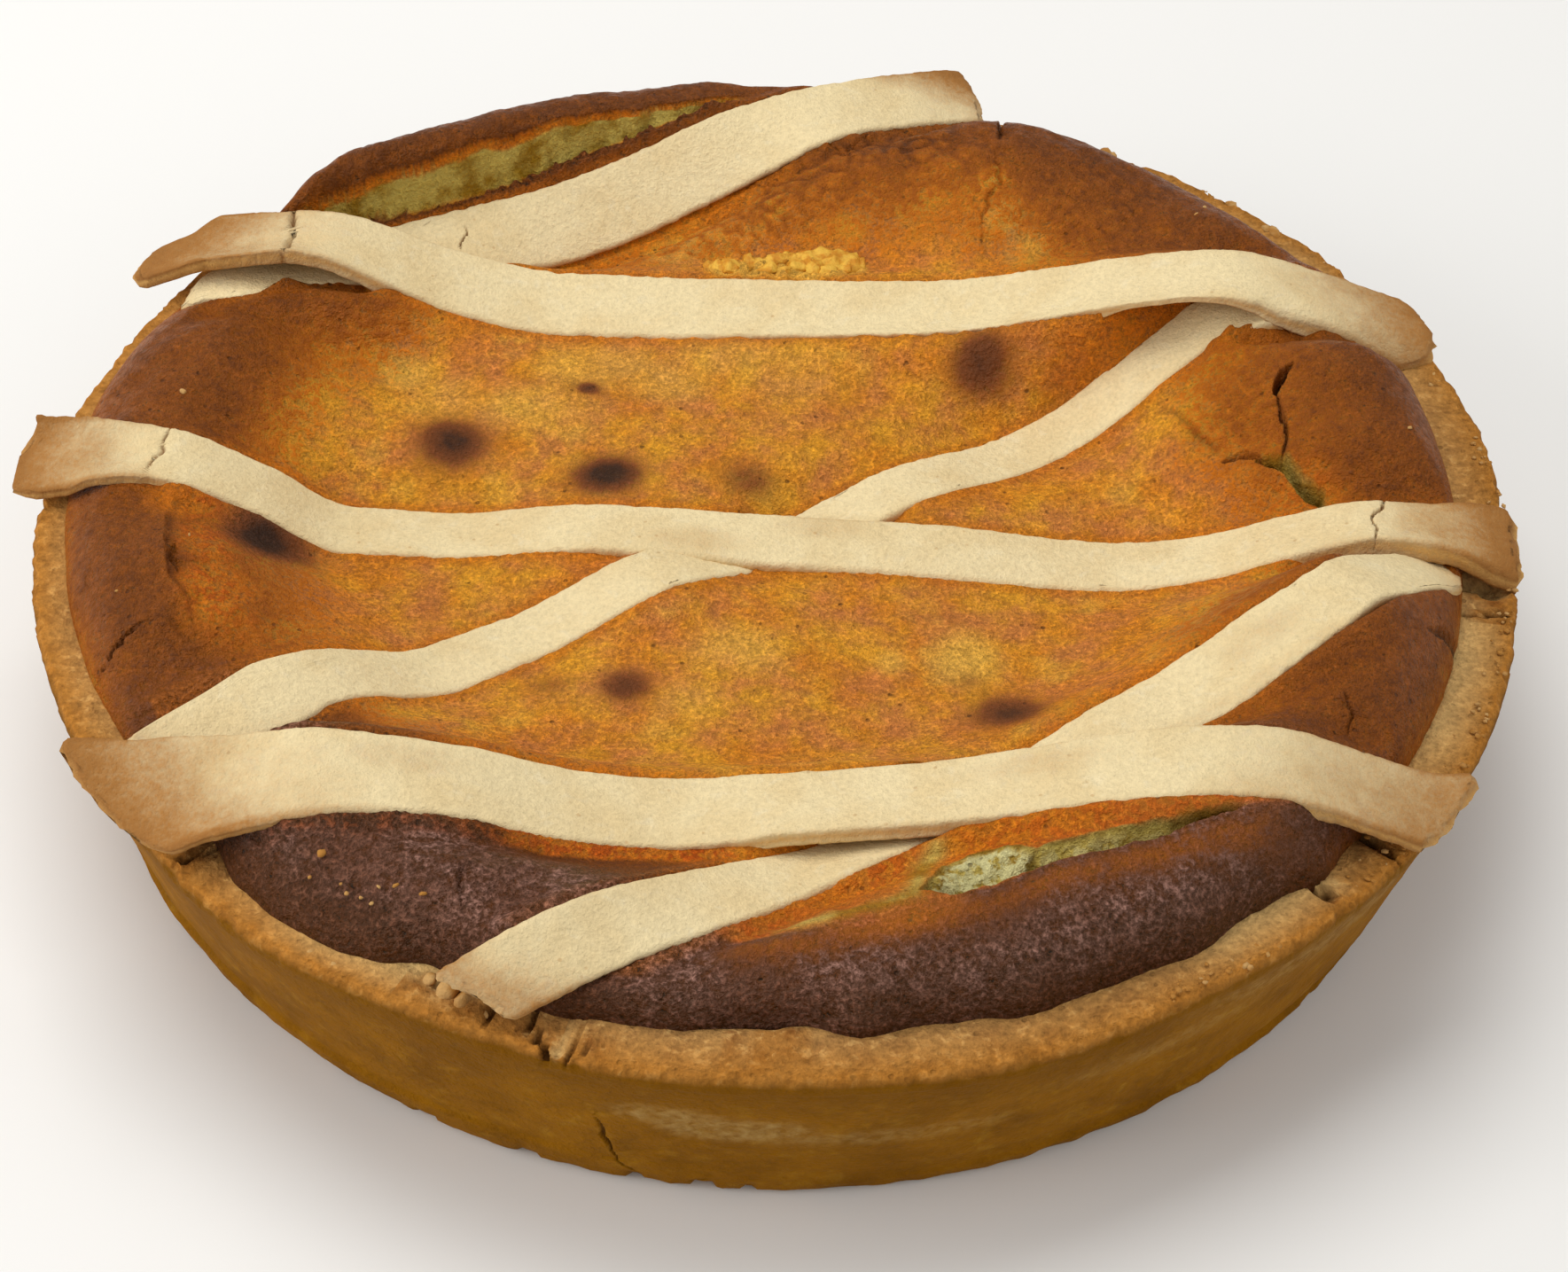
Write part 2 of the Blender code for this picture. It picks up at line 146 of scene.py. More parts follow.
@dataclass(frozen=True)
class Grain:
    """Seeded noise for arrays of points in millimetres."""

    seed: int

    def hashed(self, cells: Values, channel: int = 0) -> Values:
        """Random number from 0 to 1 for each whole-numbered cell.

        Args:
            cells: whole numbers, three in the last axis.
            channel: another channel gives another number for the same cell.

        Returns:
            One number for each cell.
        """
        cells = cells.astype(np.int64)
        value = cells[..., 0] * 73856093 ^ cells[..., 1] * 19349663 ^ cells[..., 2] * 83492791
        value = (value ^ (self.seed * 40503 + channel * 9973) * 2654435761) & 0xFFFFFFFF
        value = (value ^ (value >> 15)) * 2246822519 & 0xFFFFFFFF
        value = (value ^ (value >> 13)) * 3266489917 & 0xFFFFFFFF
        return (value ^ (value >> 16)) / 4294967295.0

    def lumps(self, points: Values, size: float) -> Values:
        """Soft lumps about one size across, from -1 to 1.

        Args:
            points: places, three numbers in the last axis.
            size: size of a lump.

        Returns:
            One number for each place.
        """
        place = points / size
        cell = np.floor(place).astype(np.int64)
        part = place - cell
        part = part * part * part * (part * (part * 6.0 - 15.0) + 10.0)
        total = np.zeros(points.shape[:-1])
        for corner in np.ndindex(2, 2, 2):
            weight = np.ones_like(total)
            for axis, at_end in enumerate(corner):
                weight = weight * (part[..., axis] if at_end else 1.0 - part[..., axis])
            total += weight * self.hashed(cell + np.array(corner))
        return total * 2.0 - 1.0

    def rough(self, points: Values, size: float, octaves: int = 3) -> Values:
        """Lumps of ever smaller sizes added up, from about -1 to 1.

        Args:
            points: places, three numbers in the last axis.
            size: size of the largest lumps.
            octaves: how many sizes, each half as large as the one before.

        Returns:
            One number for each place.
        """
        total, strength = np.zeros(points.shape[:-1]), 1.0
        for octave in range(octaves):
            shifted = points + 17.3 * octave
            total += strength * self.lumps(shifted, size / 2.0 ** octave)
            strength *= 0.55
        return total / 1.4

    def cells(self, points: Values, size: float) -> tuple[Values, Values]:
        """Distances to the nearest and second nearest of scattered seeds.

        Args:
            points: places, three numbers in the last axis.
            size: mean distance between the seeds.

        Returns:
            Both distances, as parts of the size.
        """
        place = points / size
        base = np.floor(place).astype(np.int64)
        first = np.full(points.shape[:-1], 9.0)
        second = first.copy()
        for offset in np.ndindex(3, 3, 3):
            cell = base + np.array(offset) - 1
            seeds = np.stack([self.hashed(cell, axis + 1) for axis in range(3)], axis=-1)
            away = np.linalg.norm(cell + seeds - place, axis=-1)
            second = np.minimum(second, np.maximum(first, away))
            first = np.minimum(first, away)
        return first, second


@dataclass(frozen=True)
class RoundTable:
    """A value by bearing, eased between its rows."""

    rows: Rows

    def at(self, bearing: Values) -> Values:
        """Read the table.

        Args:
            bearing: bearings, in degrees.

        Returns:
            Values there.
        """
        rows = np.array([(self.rows[-1][0] - 360.0, self.rows[-1][1]), *self.rows,
                         (self.rows[0][0] + 360.0, self.rows[0][1])])
        bearing = (bearing + 180.0) % 360.0 - 180.0
        row = np.clip(np.searchsorted(rows[:, 0], bearing) - 1, 0, len(rows) - 2)
        low, high = rows[row], rows[row + 1]
        part = eased((bearing - low[..., 0]) / (high[..., 0] - low[..., 0]))
        return low[..., 1] + (high[..., 1] - low[..., 1]) * part


@dataclass(frozen=True)
class LineTable:
    """A value by station, on a smooth curve that doesn't overshoot."""

    rows: Rows

    def at(self, station: Values) -> Values:
        """Read the table.

        Args:
            station: stations.

        Returns:
            Values there.
        """
        rows = np.array(self.rows, float)
        station = np.clip(station, rows[0, 0], rows[-1, 0])
        slopes = np.diff(rows[:, 1]) / np.diff(rows[:, 0])
        tangents = np.zeros(len(rows))
        kept = slopes[:-1] * slopes[1:] > 0
        tangents[1:-1][kept] = (slopes[:-1] + slopes[1:])[kept] / 2.0
        row = np.clip(np.searchsorted(rows[:, 0], station) - 1, 0, len(rows) - 2)
        length = rows[row + 1, 0] - rows[row, 0]
        part = (station - rows[row, 0]) / length
        leave = part * (1.0 - part) ** 2 * length * tangents[row]
        arrive = part ** 2 * (part - 1.0) * length * tangents[row + 1]
        return rows[row, 1] + (rows[row + 1, 1] - rows[row, 1]) * eased(part) + leave + arrive


@dataclass(frozen=True)
class Path:
    """A line through points in plan, or through stations and distances across a strip."""

    points: Rows

    def nearest(self, x: Values, y: Values) -> tuple[Values, Values]:
        """How far each place lies from the line, and where along it.

        Args:
            x, y: the places.

        Returns:
            Distance to the line, above zero on its left, and the part of its length from
            0 to 1 at the nearest point.
        """
        points = np.array(self.points, float)
        runs = np.diff(points, axis=0)
        lengths = np.linalg.norm(runs, axis=1)
        best = np.full(np.shape(x), 1e9)
        part_there, side_there = np.zeros_like(best), np.ones_like(best)
        done = 0.0
        for start, run, length in zip(points, runs, lengths):
            along = unit(((x - start[0]) * run[0] + (y - start[1]) * run[1]) / length ** 2)
            away_x, away_y = x - start[0] - run[0] * along, y - start[1] - run[1] * along
            away = np.hypot(away_x, away_y)
            closer = away < best
            best = np.where(closer, away, best)
            part_there = np.where(closer, (done + along * length) / lengths.sum(), part_there)
            side_there = np.where(closer, np.sign(run[0] * away_y - run[1] * away_x), side_there)
            done += length
        return best * np.where(side_there < 0, -1.0, 1.0), part_there


class Depth(Enum):
    """How the side walls of a crack fall."""

    SOFT = 0.5
    STEEP = 0.8


class Mark:
    """Something that is cut into a surface or stands out of it."""

    def carve(self, x: Values, y: Values, grain: Grain) -> tuple[Values, Values]:
        """Work out what the mark does at each place.

        Args:
            x, y: the places.
            grain: noise for its ragged edges.

        Returns:
            How much it changes the height, in millimetres, and a second number that each kind
            describes.
        """
        raise NotImplementedError


@dataclass(frozen=True)
class Crack(Mark):
    """A crack or tear along a line.

    Args:
        path: its middle line.
        half_width: half of its width at its widest.
        depth: its depth at its deepest.
        walls: how its walls fall.
        wander: how far its edges stray from the line.
    """

    path: Path
    half_width: float
    depth: float
    walls: Depth = Depth.STEEP
    wander: float = 0.7

    def carve(self, x: Values, y: Values, grain: Grain) -> tuple[Values, Values]:
        """Depth, and the distance beyond its edge."""
        places = spots(x, y, self.half_width)
        away, part = self.path.nearest(x, y)
        away = away + self.wander * grain.rough(places, 3.0, 3)
        taper = np.sqrt(np.sin(np.pi * np.clip(part, 0.02, 0.98)))
        half = self.half_width * (0.75 + 0.35 * grain.lumps(places, 4.0)) * (0.25 + 0.75 * taper)
        ratio = np.abs(away) / half
        inside = 1.0 - eased((ratio - self.walls.value) / (1.25 - self.walls.value))
        return self.depth * taper * inside, np.abs(away) - half


@dataclass(frozen=True)
class Gash(Mark):
    """A tear that gapes between two edges.

    Args:
        near: its edge towards the front of the pie, from left to right.
        far: its edge towards the back, from left to right.
        depth: its depth at its deepest.
        fall: parts of its width over which its floor falls from the near edge and rises to
            the far one.
        wander: how far its edges stray from the lines.
        pale: how pale the curd inside it is, from 0 to 1.
    """

    near: Path
    far: Path
    depth: float
    fall: tuple[float, float] = (0.1, 0.6)
    wander: float = 0.5
    pale: float = 0.3

    def carve(self, x: Values, y: Values, grain: Grain) -> tuple[Values, Values]:
        """Depth, and the distance in from its nearer edge."""
        places = spots(x, y)
        from_near = self.near.nearest(x, y)[0] + self.wander * grain.rough(places, 3.0, 4)
        from_far = self.wander * grain.rough(places + 40.0, 3.0, 4) - self.far.nearest(x, y)[0]
        inside = np.minimum(from_near, from_far)
        part = unit(from_near / np.maximum(from_near + from_far, 0.05))
        floor = step(part, 0.0, self.fall[0]) * step(1.0 - part, 0.0, self.fall[1])
        return self.depth * floor * step(inside, 0.0, 0.7), inside


@dataclass(frozen=True)
class Ledge(Mark):
    """A line where the surface on its left stands higher than on its right.

    Args:
        path: the line.
        height: how much higher it stands.
        reach: how far from the line the rise fades out.
        shadow: how dark the foot of the step is.
    """

    path: Path
    height: float
    reach: float = 7.0
    shadow: float = 0.5

    def carve(self, x: Values, y: Values, grain: Grain) -> tuple[Values, Values]:
        """Rise, and how dark the foot of the step is, from 0 to 1."""
        places = spots(x, y)
        side, part = self.path.nearest(x, y)
        side = side + 0.5 * grain.rough(places, 3.2, 3)
        there = np.sin(np.pi * np.clip(part, 0.03, 0.97))
        rise = self.height * there * np.exp(-np.maximum(side, 0.0) / self.reach)
        foot = bell(side + 0.35, 0.45) * np.sqrt(there)
        return rise * step(side, -0.3, 0.35), self.shadow * foot


@dataclass(frozen=True)
class Spot:
    """A patch of another colour on the filling.

    Args:
        x, y: its place.
        size: its radius.
        strength: how strongly it shows, from 0 to 1.
        stretch: its length over its width, along X.
    """

    x: float
    y: float
    size: float
    strength: float = 1.0
    stretch: float = 1.0

    def at(self, x: Values, y: Values, wander: Values, soft: float) -> Values:
        """Strength of the spot at each place.

        Args:
            x, y: the places.
            wander: noise that frays its edge, from -1 to 1.
            soft: how far its edge fades, as a part of its radius.

        Returns:
            Strength from 0 to 1.
        """
        away = np.hypot((x - self.x) / self.stretch, y - self.y) / self.size
        away = away + 0.35 * wander
        return self.strength * (1.0 - eased((away - (1.0 - soft)) / (2.0 * soft)))


# ---- the shape of the pie

@dataclass(frozen=True)
class ShellShape:
    """Sizes of the shortcrust shell, as in the frame."""

    height: float = RIM
    base_radius: float = 118.0
    rim_radius: float = 130.0
    rim_width: float = 11.6
    crown: float = 0.5
    floor: float = 5.0
    wall: float = 6.4
    base_round: float = 1.4
    radius_waves: tuple = ((3, 0.5, 20), (7, 0.35, 75), (13, 0.25, 10))
    height_waves: tuple = ((2, 0.35, 40), (5, 0.4, 100), (11, 0.3, 15))
    drift: float = 1.2
    edge_radius: float = 119.6
    bulges: RoundTable = RoundTable((
        (-180, 0.1), (-174, 1), (-166, 1.3), (-158, 0.8), (-148, 0.4), (-125, 0.8), (-100, 0.2),
        (-40, 1), (-20, 0.2), (150, 0), (170, 0.4)))

    @property
    def flare(self) -> float:
        """How far the wall leans out for each millimetre of height."""
        return (self.rim_radius - self.base_radius) / self.height

    @staticmethod
    def waves(table: tuple, bearing: Values) -> Values:
        """Sum of the waves round the shell at each bearing."""
        return sum(size * np.cos(np.radians(count * (bearing - start)))
                   for count, size, start in table)

    def edge_shift(self, bearing: Values) -> Values:
        """How far the filling's edge moves out at each bearing."""
        return -self.drift * np.cos(np.radians(bearing))


@dataclass(frozen=True)
class StripShape:
    """A strip of shortcrust: a straight band in plan that rides over the filling.

    Args:
        node: its name in the frame.
        bearing: its direction.
        offset: distance of its middle line from the centre.
        widths: its width by station.
        reach: radius at which each end is cut off.
        heights: height of its top by station.
        leans: how it leans sideways by station.
        cracks: cracks, by station and distance across.
        toast: for each end, how far its browning reaches and how strong it is.
        clouds: faint tan clouds, by station, distance across and size.
        trims: for each end, how much shorter the strip is, by the part of its half width.
        droops: how much its near and its far edge hang below its flat top, by station.
        thickness: its thickness by station.
        free: for each end, 1 where it sticks out freely and 0 where it is pressed down.
        lifts: for each end, the stations between which its near edge comes free of the filling.
        near: how far its near edge lies from its middle line, where the filling laps over it.
    """

    node: str
    bearing: float
    offset: float
    widths: LineTable
    reach: tuple[float, float]
    heights: LineTable
    leans: LineTable
    cracks: tuple[Crack, ...] = ()
    toast: tuple[tuple[float, float], tuple[float, float]] = ((16, 1), (16, 1))
    clouds: Triples = ()
    trims: tuple[Rows, Rows] = (((-1, 0), (1, 0)), ((-1, 0), (1, 0)))
    droops: tuple[LineTable, LineTable] = (LineTable(((-1, 0), (1, 0))),
                                           LineTable(((-1, 0), (1, 0))))
    thickness: LineTable = LineTable(((-134, 4.5), (134, 4.5)))
    free: tuple[float, float] = (0, 0)
    lifts: tuple[tuple[float, float], tuple[float, float]] = ((103, 109), (103, 109))
    near: LineTable = LineTable(((-1, 99), (1, 99)))

    def half(self, station: Values, side: Values) -> Values:
        """Distance from its middle line to an edge.

        Args:
            station: stations.
            side: below zero for the near edge.

        Returns:
            Distances.
        """
        wide = self.widths.at(station) / 2.0
        near = self.near.at(station)
        return np.where((side < 0) & (near < 90.0), near, wide)

    def plan(self, station: Values, across: Values) -> tuple[Values, Values]:
        """Plan position of a point of the strip.

        Args:
            station: its station.
            across: its distance from the middle line.

        Returns:
            Its place along X and Y.
        """
        cosine, sine = math.cos(math.radians(self.bearing)), math.sin(math.radians(self.bearing))
        side = self.offset + across
        return station * cosine - side * sine, station * sine + side * cosine

    def along(self, x: Values, y: Values) -> tuple[Values, Values]:
        """Station and distance across of a plan position."""
        cosine, sine = math.cos(math.radians(self.bearing)), math.sin(math.radians(self.bearing))
        return x * cosine + y * sine, y * cosine - x * sine - self.offset

    def end(self, side: int, across: Values) -> Values:
        """Station where the strip is cut off, parallel to the rim."""
        reach = self.reach[0] if side < 0 else self.reach[1]
        return side * np.sqrt(reach ** 2 - (self.offset + across) ** 2)

    def within(self, station: Values, low: float, high: float) -> Values:
        """1 between its ends, eased to 0 from `high` to `low` inside each of them."""
        return (step(self.end(1, 0.0) - station, low, high)
                * step(station - self.end(-1, 0.0), low, high))

    def flat_top(self, station: Values, across: Values, half: Values) -> Values:
        """Height of its top, which goes on level beside its edges."""
        return self.top(station, np.clip(across, -half, half))

    def lean(self, station: Values) -> Values:
        """Sideways lean at each station, in radians."""
        return np.radians(self.leans.at(station))

    def top(self, station: Values, across: Values) -> Values:
        """Height of its top.

        Args:
            station, across: the places.

        Returns:
            Heights.
        """
        part = across / self.half(station, across)
        near, far = (table.at(station) for table in self.droops)
        fall = np.where(part < 0, near, far) * unit(np.abs(part)) ** 2.4
        return self.heights.at(station) + across * np.tan(self.lean(station)) - fall


BACK = StripShape(
    "strip_back", -3.7, 56.3, LineTable(((-134, 17), (-90, 16), (134, 16))), (132.5, 132),
    LineTable(((-134, 4.5), (-112, 8.5), (-91, 11.5), (-66, 3), (-46, -0.7), (0, 1), (30, 3.5),
               (62, 12), (80, 15.2), (97, 11.5), (115, 5), (132, 3))),
    LineTable(((-130, 6), (-91, 0), (-60, 9), (0, 9), (40, 8), (90, -4), (130, 4))),
    (Crack(Path(((-97.6, 9.5), (-96.3, 0.3), (-96.4, -6.1), (-96.8, -9.5))), 0.46, 2.4,
           wander=0.45),),
    ((44, 1), (38, 1)),
    trims=(((-1, -1.5), (-0.92, -3.1), (-0.1, -4.6), (0.36, 0.3), (0.9, 2.3), (1, 3.4)),
           ((-1, 9.6), (-0.75, 4.5), (-0.54, 2.3), (-0.05, 0.2), (0.65, 0), (1, 1.8))),
    droops=(LineTable(((-130, 1), (-118, -1), (-111, -2.4), (-97, -2.4), (-90, -1.4),
                       (-80, 0), (82, 0.6), (88, 2.2), (98, 2.4), (104, 3.5), (109, 4.8),
                       (118, 5))), LineTable(((-1, 0), (1, 0)))),
    thickness=LineTable(((-134, 2.8), (-100, 3.4), (-82, 3.6), (-60, 4.5), (56, 4.5),
                         (68, 1.5), (82, 1.7), (92, 3.2), (134, 3.4))),
    free=(1, 0), lifts=((76, 83), (103, 109)))
MIDDLE_STRIP = StripShape(
    "strip_middle", -2.7, -3.85,
    LineTable(((-134, 15.6), (-100, 13.8), (112, 13.8), (128, 16.2))),
    (134, 130),
    LineTable(((-136, 4), (-117, 7.7), (-104, 7.5), (-91, 1.7), (-76, -7), (-60, -7),
               (-30, -3.2), (0, -4), (30, -4.7), (56, -6.2), (75, -3), (91, 3.6), (104, 7.3),
               (118, 6.5), (132, 3.5))),
    LineTable(((-130, 4), (-90, -3), (-30, -4), (30, 0), (90, -8), (130, -6))),
    (Crack(Path(((-107.9, 8), (-108, 3.4), (-108, 0.3), (-109.2, -2.2), (-110.4, -7.2))),
           0.24, 0.7, wander=0.45),
     Crack(Path(((105.9, 7.4), (104.8, 3.5), (102.8, 0.4), (103.6, -2.6), (103.1, -7.4))),
           0.3, 1.4, wander=0.45)),
    ((34, 1), (34, 1.15)), ((-14, -2, 16), (8, 4, 14)),
    trims=(((-1, 2.4), (-0.82, -1.2), (-0.6, -3), (-0.3, -3.9), (0.1, -3.2), (0.5, -0.4),
            (0.8, 0.6), (1, 0.2)),
           ((-1, -0.9), (-0.3, 0.1), (0.7, 0), (1, 0.4))),
    droops=(LineTable(((-133, 0.2), (-124, 0.7), (-119, -0.7), (-114, -1.2), (-109, -0.8),
                       (-102, 0), (-90, 0.5), (-60, 0.2), (90, 0), (104, -1.2),
                       (112, -0.4), (118, 0.4), (126, 2.6))),
            LineTable(((-134, -5.4), (-128, -3.6), (-118, -1.8), (-106, -0.6), (-96, 0),
                       (112, 0), (122, -1.4), (130, -2)))),
    thickness=LineTable(((-134, 2.2), (-118, 2.2), (-106, 3.6), (-90, 4.5), (100, 4.5),
                         (112, 4), (134, 3.4))),
    free=(1, 1), lifts=((103, 109), (91, 96)))
FRONT = StripShape(
    "strip_front", 1.6, -77.7, LineTable(((-106, 22), (-75, 17), (-50, 15.8), (106, 15.8))),
    (132.5, 130.5),
    LineTable(((-108, 6), (-90, 9), (-72, 13.3), (-52, 10.9), (-35, 5.5), (-18, 3.3), (0, 5.5),
               (26, 8.4), (52, 13.6), (66, 15.2), (80, 13.8), (92, 8.5), (106, 3.5))),
    LineTable(((-104, 20), (-85, 14), (-60, 2), (-20, 0), (8, -8), (60, 0), (100, 8))),
    (Crack(Path(((91.9, 4.6), (92.4, 7.9))), 0.25, 0.6),),
    ((44, 0.95), (44, 0.75)), ((-60, 3, 18), (40, 3, 20)),
    trims=(((-1, 1.2), (-0.73, -0.4), (-0.28, -1.6), (0.22, -2.6), (0.78, -2.6), (1, -1.6)),
           ((-1, -3.2), (-0.4, -3.7), (0.2, -3.5), (0.75, -3.3), (1, -2))),
    droops=(LineTable(((-106, 1), (-96, -0.3), (-92, -1.2), (-88, -1.6), (-83, -0.9),
                       (-78, 0.1), (-70, 0.6), (-60, 0.5), (-36, 0.3), (34, 0), (74, -0.2),
                       (81, 0), (87, -0.4), (93, -0.3), (100, 0.2))),
            LineTable(((-1, 0), (1, 0)))),
    thickness=LineTable(((-134, 2), (-90, 2), (-78, 2.8), (-60, 4), (-36, 3.2), (30, 3.3),
                         (50, 4.5), (76, 4.2), (90, 3), (134, 2.6))),
    free=(1, 1))
REAR_DIAGONAL = StripShape(
    "strip_diagonal_rear", 25.7, 94.6, LineTable(((-90, 16.5), (90, 16.5))), (127, 131.5),
    LineTable(((-90, 1), (-70, 4.8), (-52, 3.8), (-26, 1.4), (-5, -0.6), (13, 1.6), (39, 8),
               (53, 10.3), (70, 8.5), (84, 6), (94, 4))),
    LineTable(((-85, -8), (-55, -5), (-30, 8), (-5, 32), (25, 36), (55, 6), (88, 10))),
    (Crack(Path(((-21.8, 3.4), (-21.9, 1.7), (-23.9, -0.2), (-24.6, -2.2))), 0.22, 0.8,
           wander=0.35),
     Crack(Path(((-27, 8.2), (-28.3, 4.9))), 0.2, 0.5)),
    ((12, 0.45), (26, 1)),
    trims=(((-1, 6.4), (-0.3, 4.4), (0.2, 3.8), (0.6, 2.2), (1, 5)),
           ((-1, 11.4), (-0.73, 9.5), (-0.31, 5), (0.35, -1.4), (0.85, -6.4), (1, -7.6))),
    near=LineTable(((-90, 1.4), (-79, 2.2), (-74, 4), (-68, 5.4), (-61, 5.9), (-52, 6.8),
                    (-44, 7.9), (-36, 8.25), (90, 8.25))),
    free=(1, 1),
    thickness=LineTable(((-90, 2), (-60, 3), (-40, 4.5), (60, 4.5), (90, 3.6))))
MIDDLE_DIAGONAL = StripShape(
    "strip_diagonal_middle", 32, -1, LineTable(((-125, 12.5), (125, 12.5))), (124, 106),
    LineTable(((-126, 3), (-102, 4.2), (-88, 2.5), (-66, -6.4), (-52, -6.4), (-26, -2.4),
               (-12, -5.5), (0, -9), (12, -7), (26, -5.2), (50, -8.3), (65, -5.9), (80, 1.6),
               (88, 5), (94, 8.2), (100, 9.2), (110, 9.2))),
    LineTable(((-120, 12), (-80, 6), (-40, -2), (20, -6), (60, -5), (105, -8))),
    toast=((14, 0.5), (4, 0.2)),
    trims=(((-1, 0), (0.2, 0), (0.35, 4), (0.55, 13), (1, 23)),
           ((-1, 0.7), (0.3, 5.9), (1, 12.4))),
    near=LineTable(((-125, 6.3), (-118, 7.6), (-110, 9), (-98, 9), (-90, 7), (-82, 6.25),
                    (88, 6.25), (94, 8.5), (100, 10.8), (110, 11.5))))
FRONT_DIAGONAL = StripShape(
    "strip_diagonal_front", 31.7, -79.15,
    LineTable(((-100, 13), (52, 13), (66, 16.5), (92, 17))), (125, 119),
    LineTable(((-102, 6.4), (-92, 7.8), (-83, 8.6), (-73, 8.3), (-64, 6.8), (-54, 4.9),
               (-44, 3.1), (-36, 2.6), (-26, 1.9), (-16, 0.9), (-8, 0.8), (13, 5),
               (30, 7.2), (52, 13.9), (62, 15.3), (78, 10), (92, 3))),
    LineTable(((-102, 16), (-92, 27), (-83, 27), (-73, 19), (-64, 7), (-54, -1), (-44, -14),
               (-36, -23), (-26, -25), (-12, -20), (20, -7), (80, -6))),
    toast=((12, 0.6), (10, 0.55)), clouds=((45, 0, 14),),
    trims=(((-1, -6), (-0.5, -5), (0, -4.1), (0.84, -3.5), (1, -2.6)),
           ((-1, 0), (-0.44, -0.7), (-0.09, -1.8), (0.58, 0.7), (1, 3.5))),
    near=LineTable(((-100, 6.5), (20, 6.5), (30, 9.4), (44, 9.3), (54, 8.6), (63, 7.8),
                    (71, 5.6), (79, 4.4), (86, 2.8), (92, 1.6))),
    free=(1, 1),
    thickness=LineTable(((-104, 1.5), (-90, 2.2), (-70, 4), (60, 4.5), (78, 3.4), (92, 2.6))))
UPPER_STRIPS = (BACK, MIDDLE_STRIP, FRONT)
LOWER_STRIPS = (REAR_DIAGONAL, MIDDLE_DIAGONAL, FRONT_DIAGONAL)


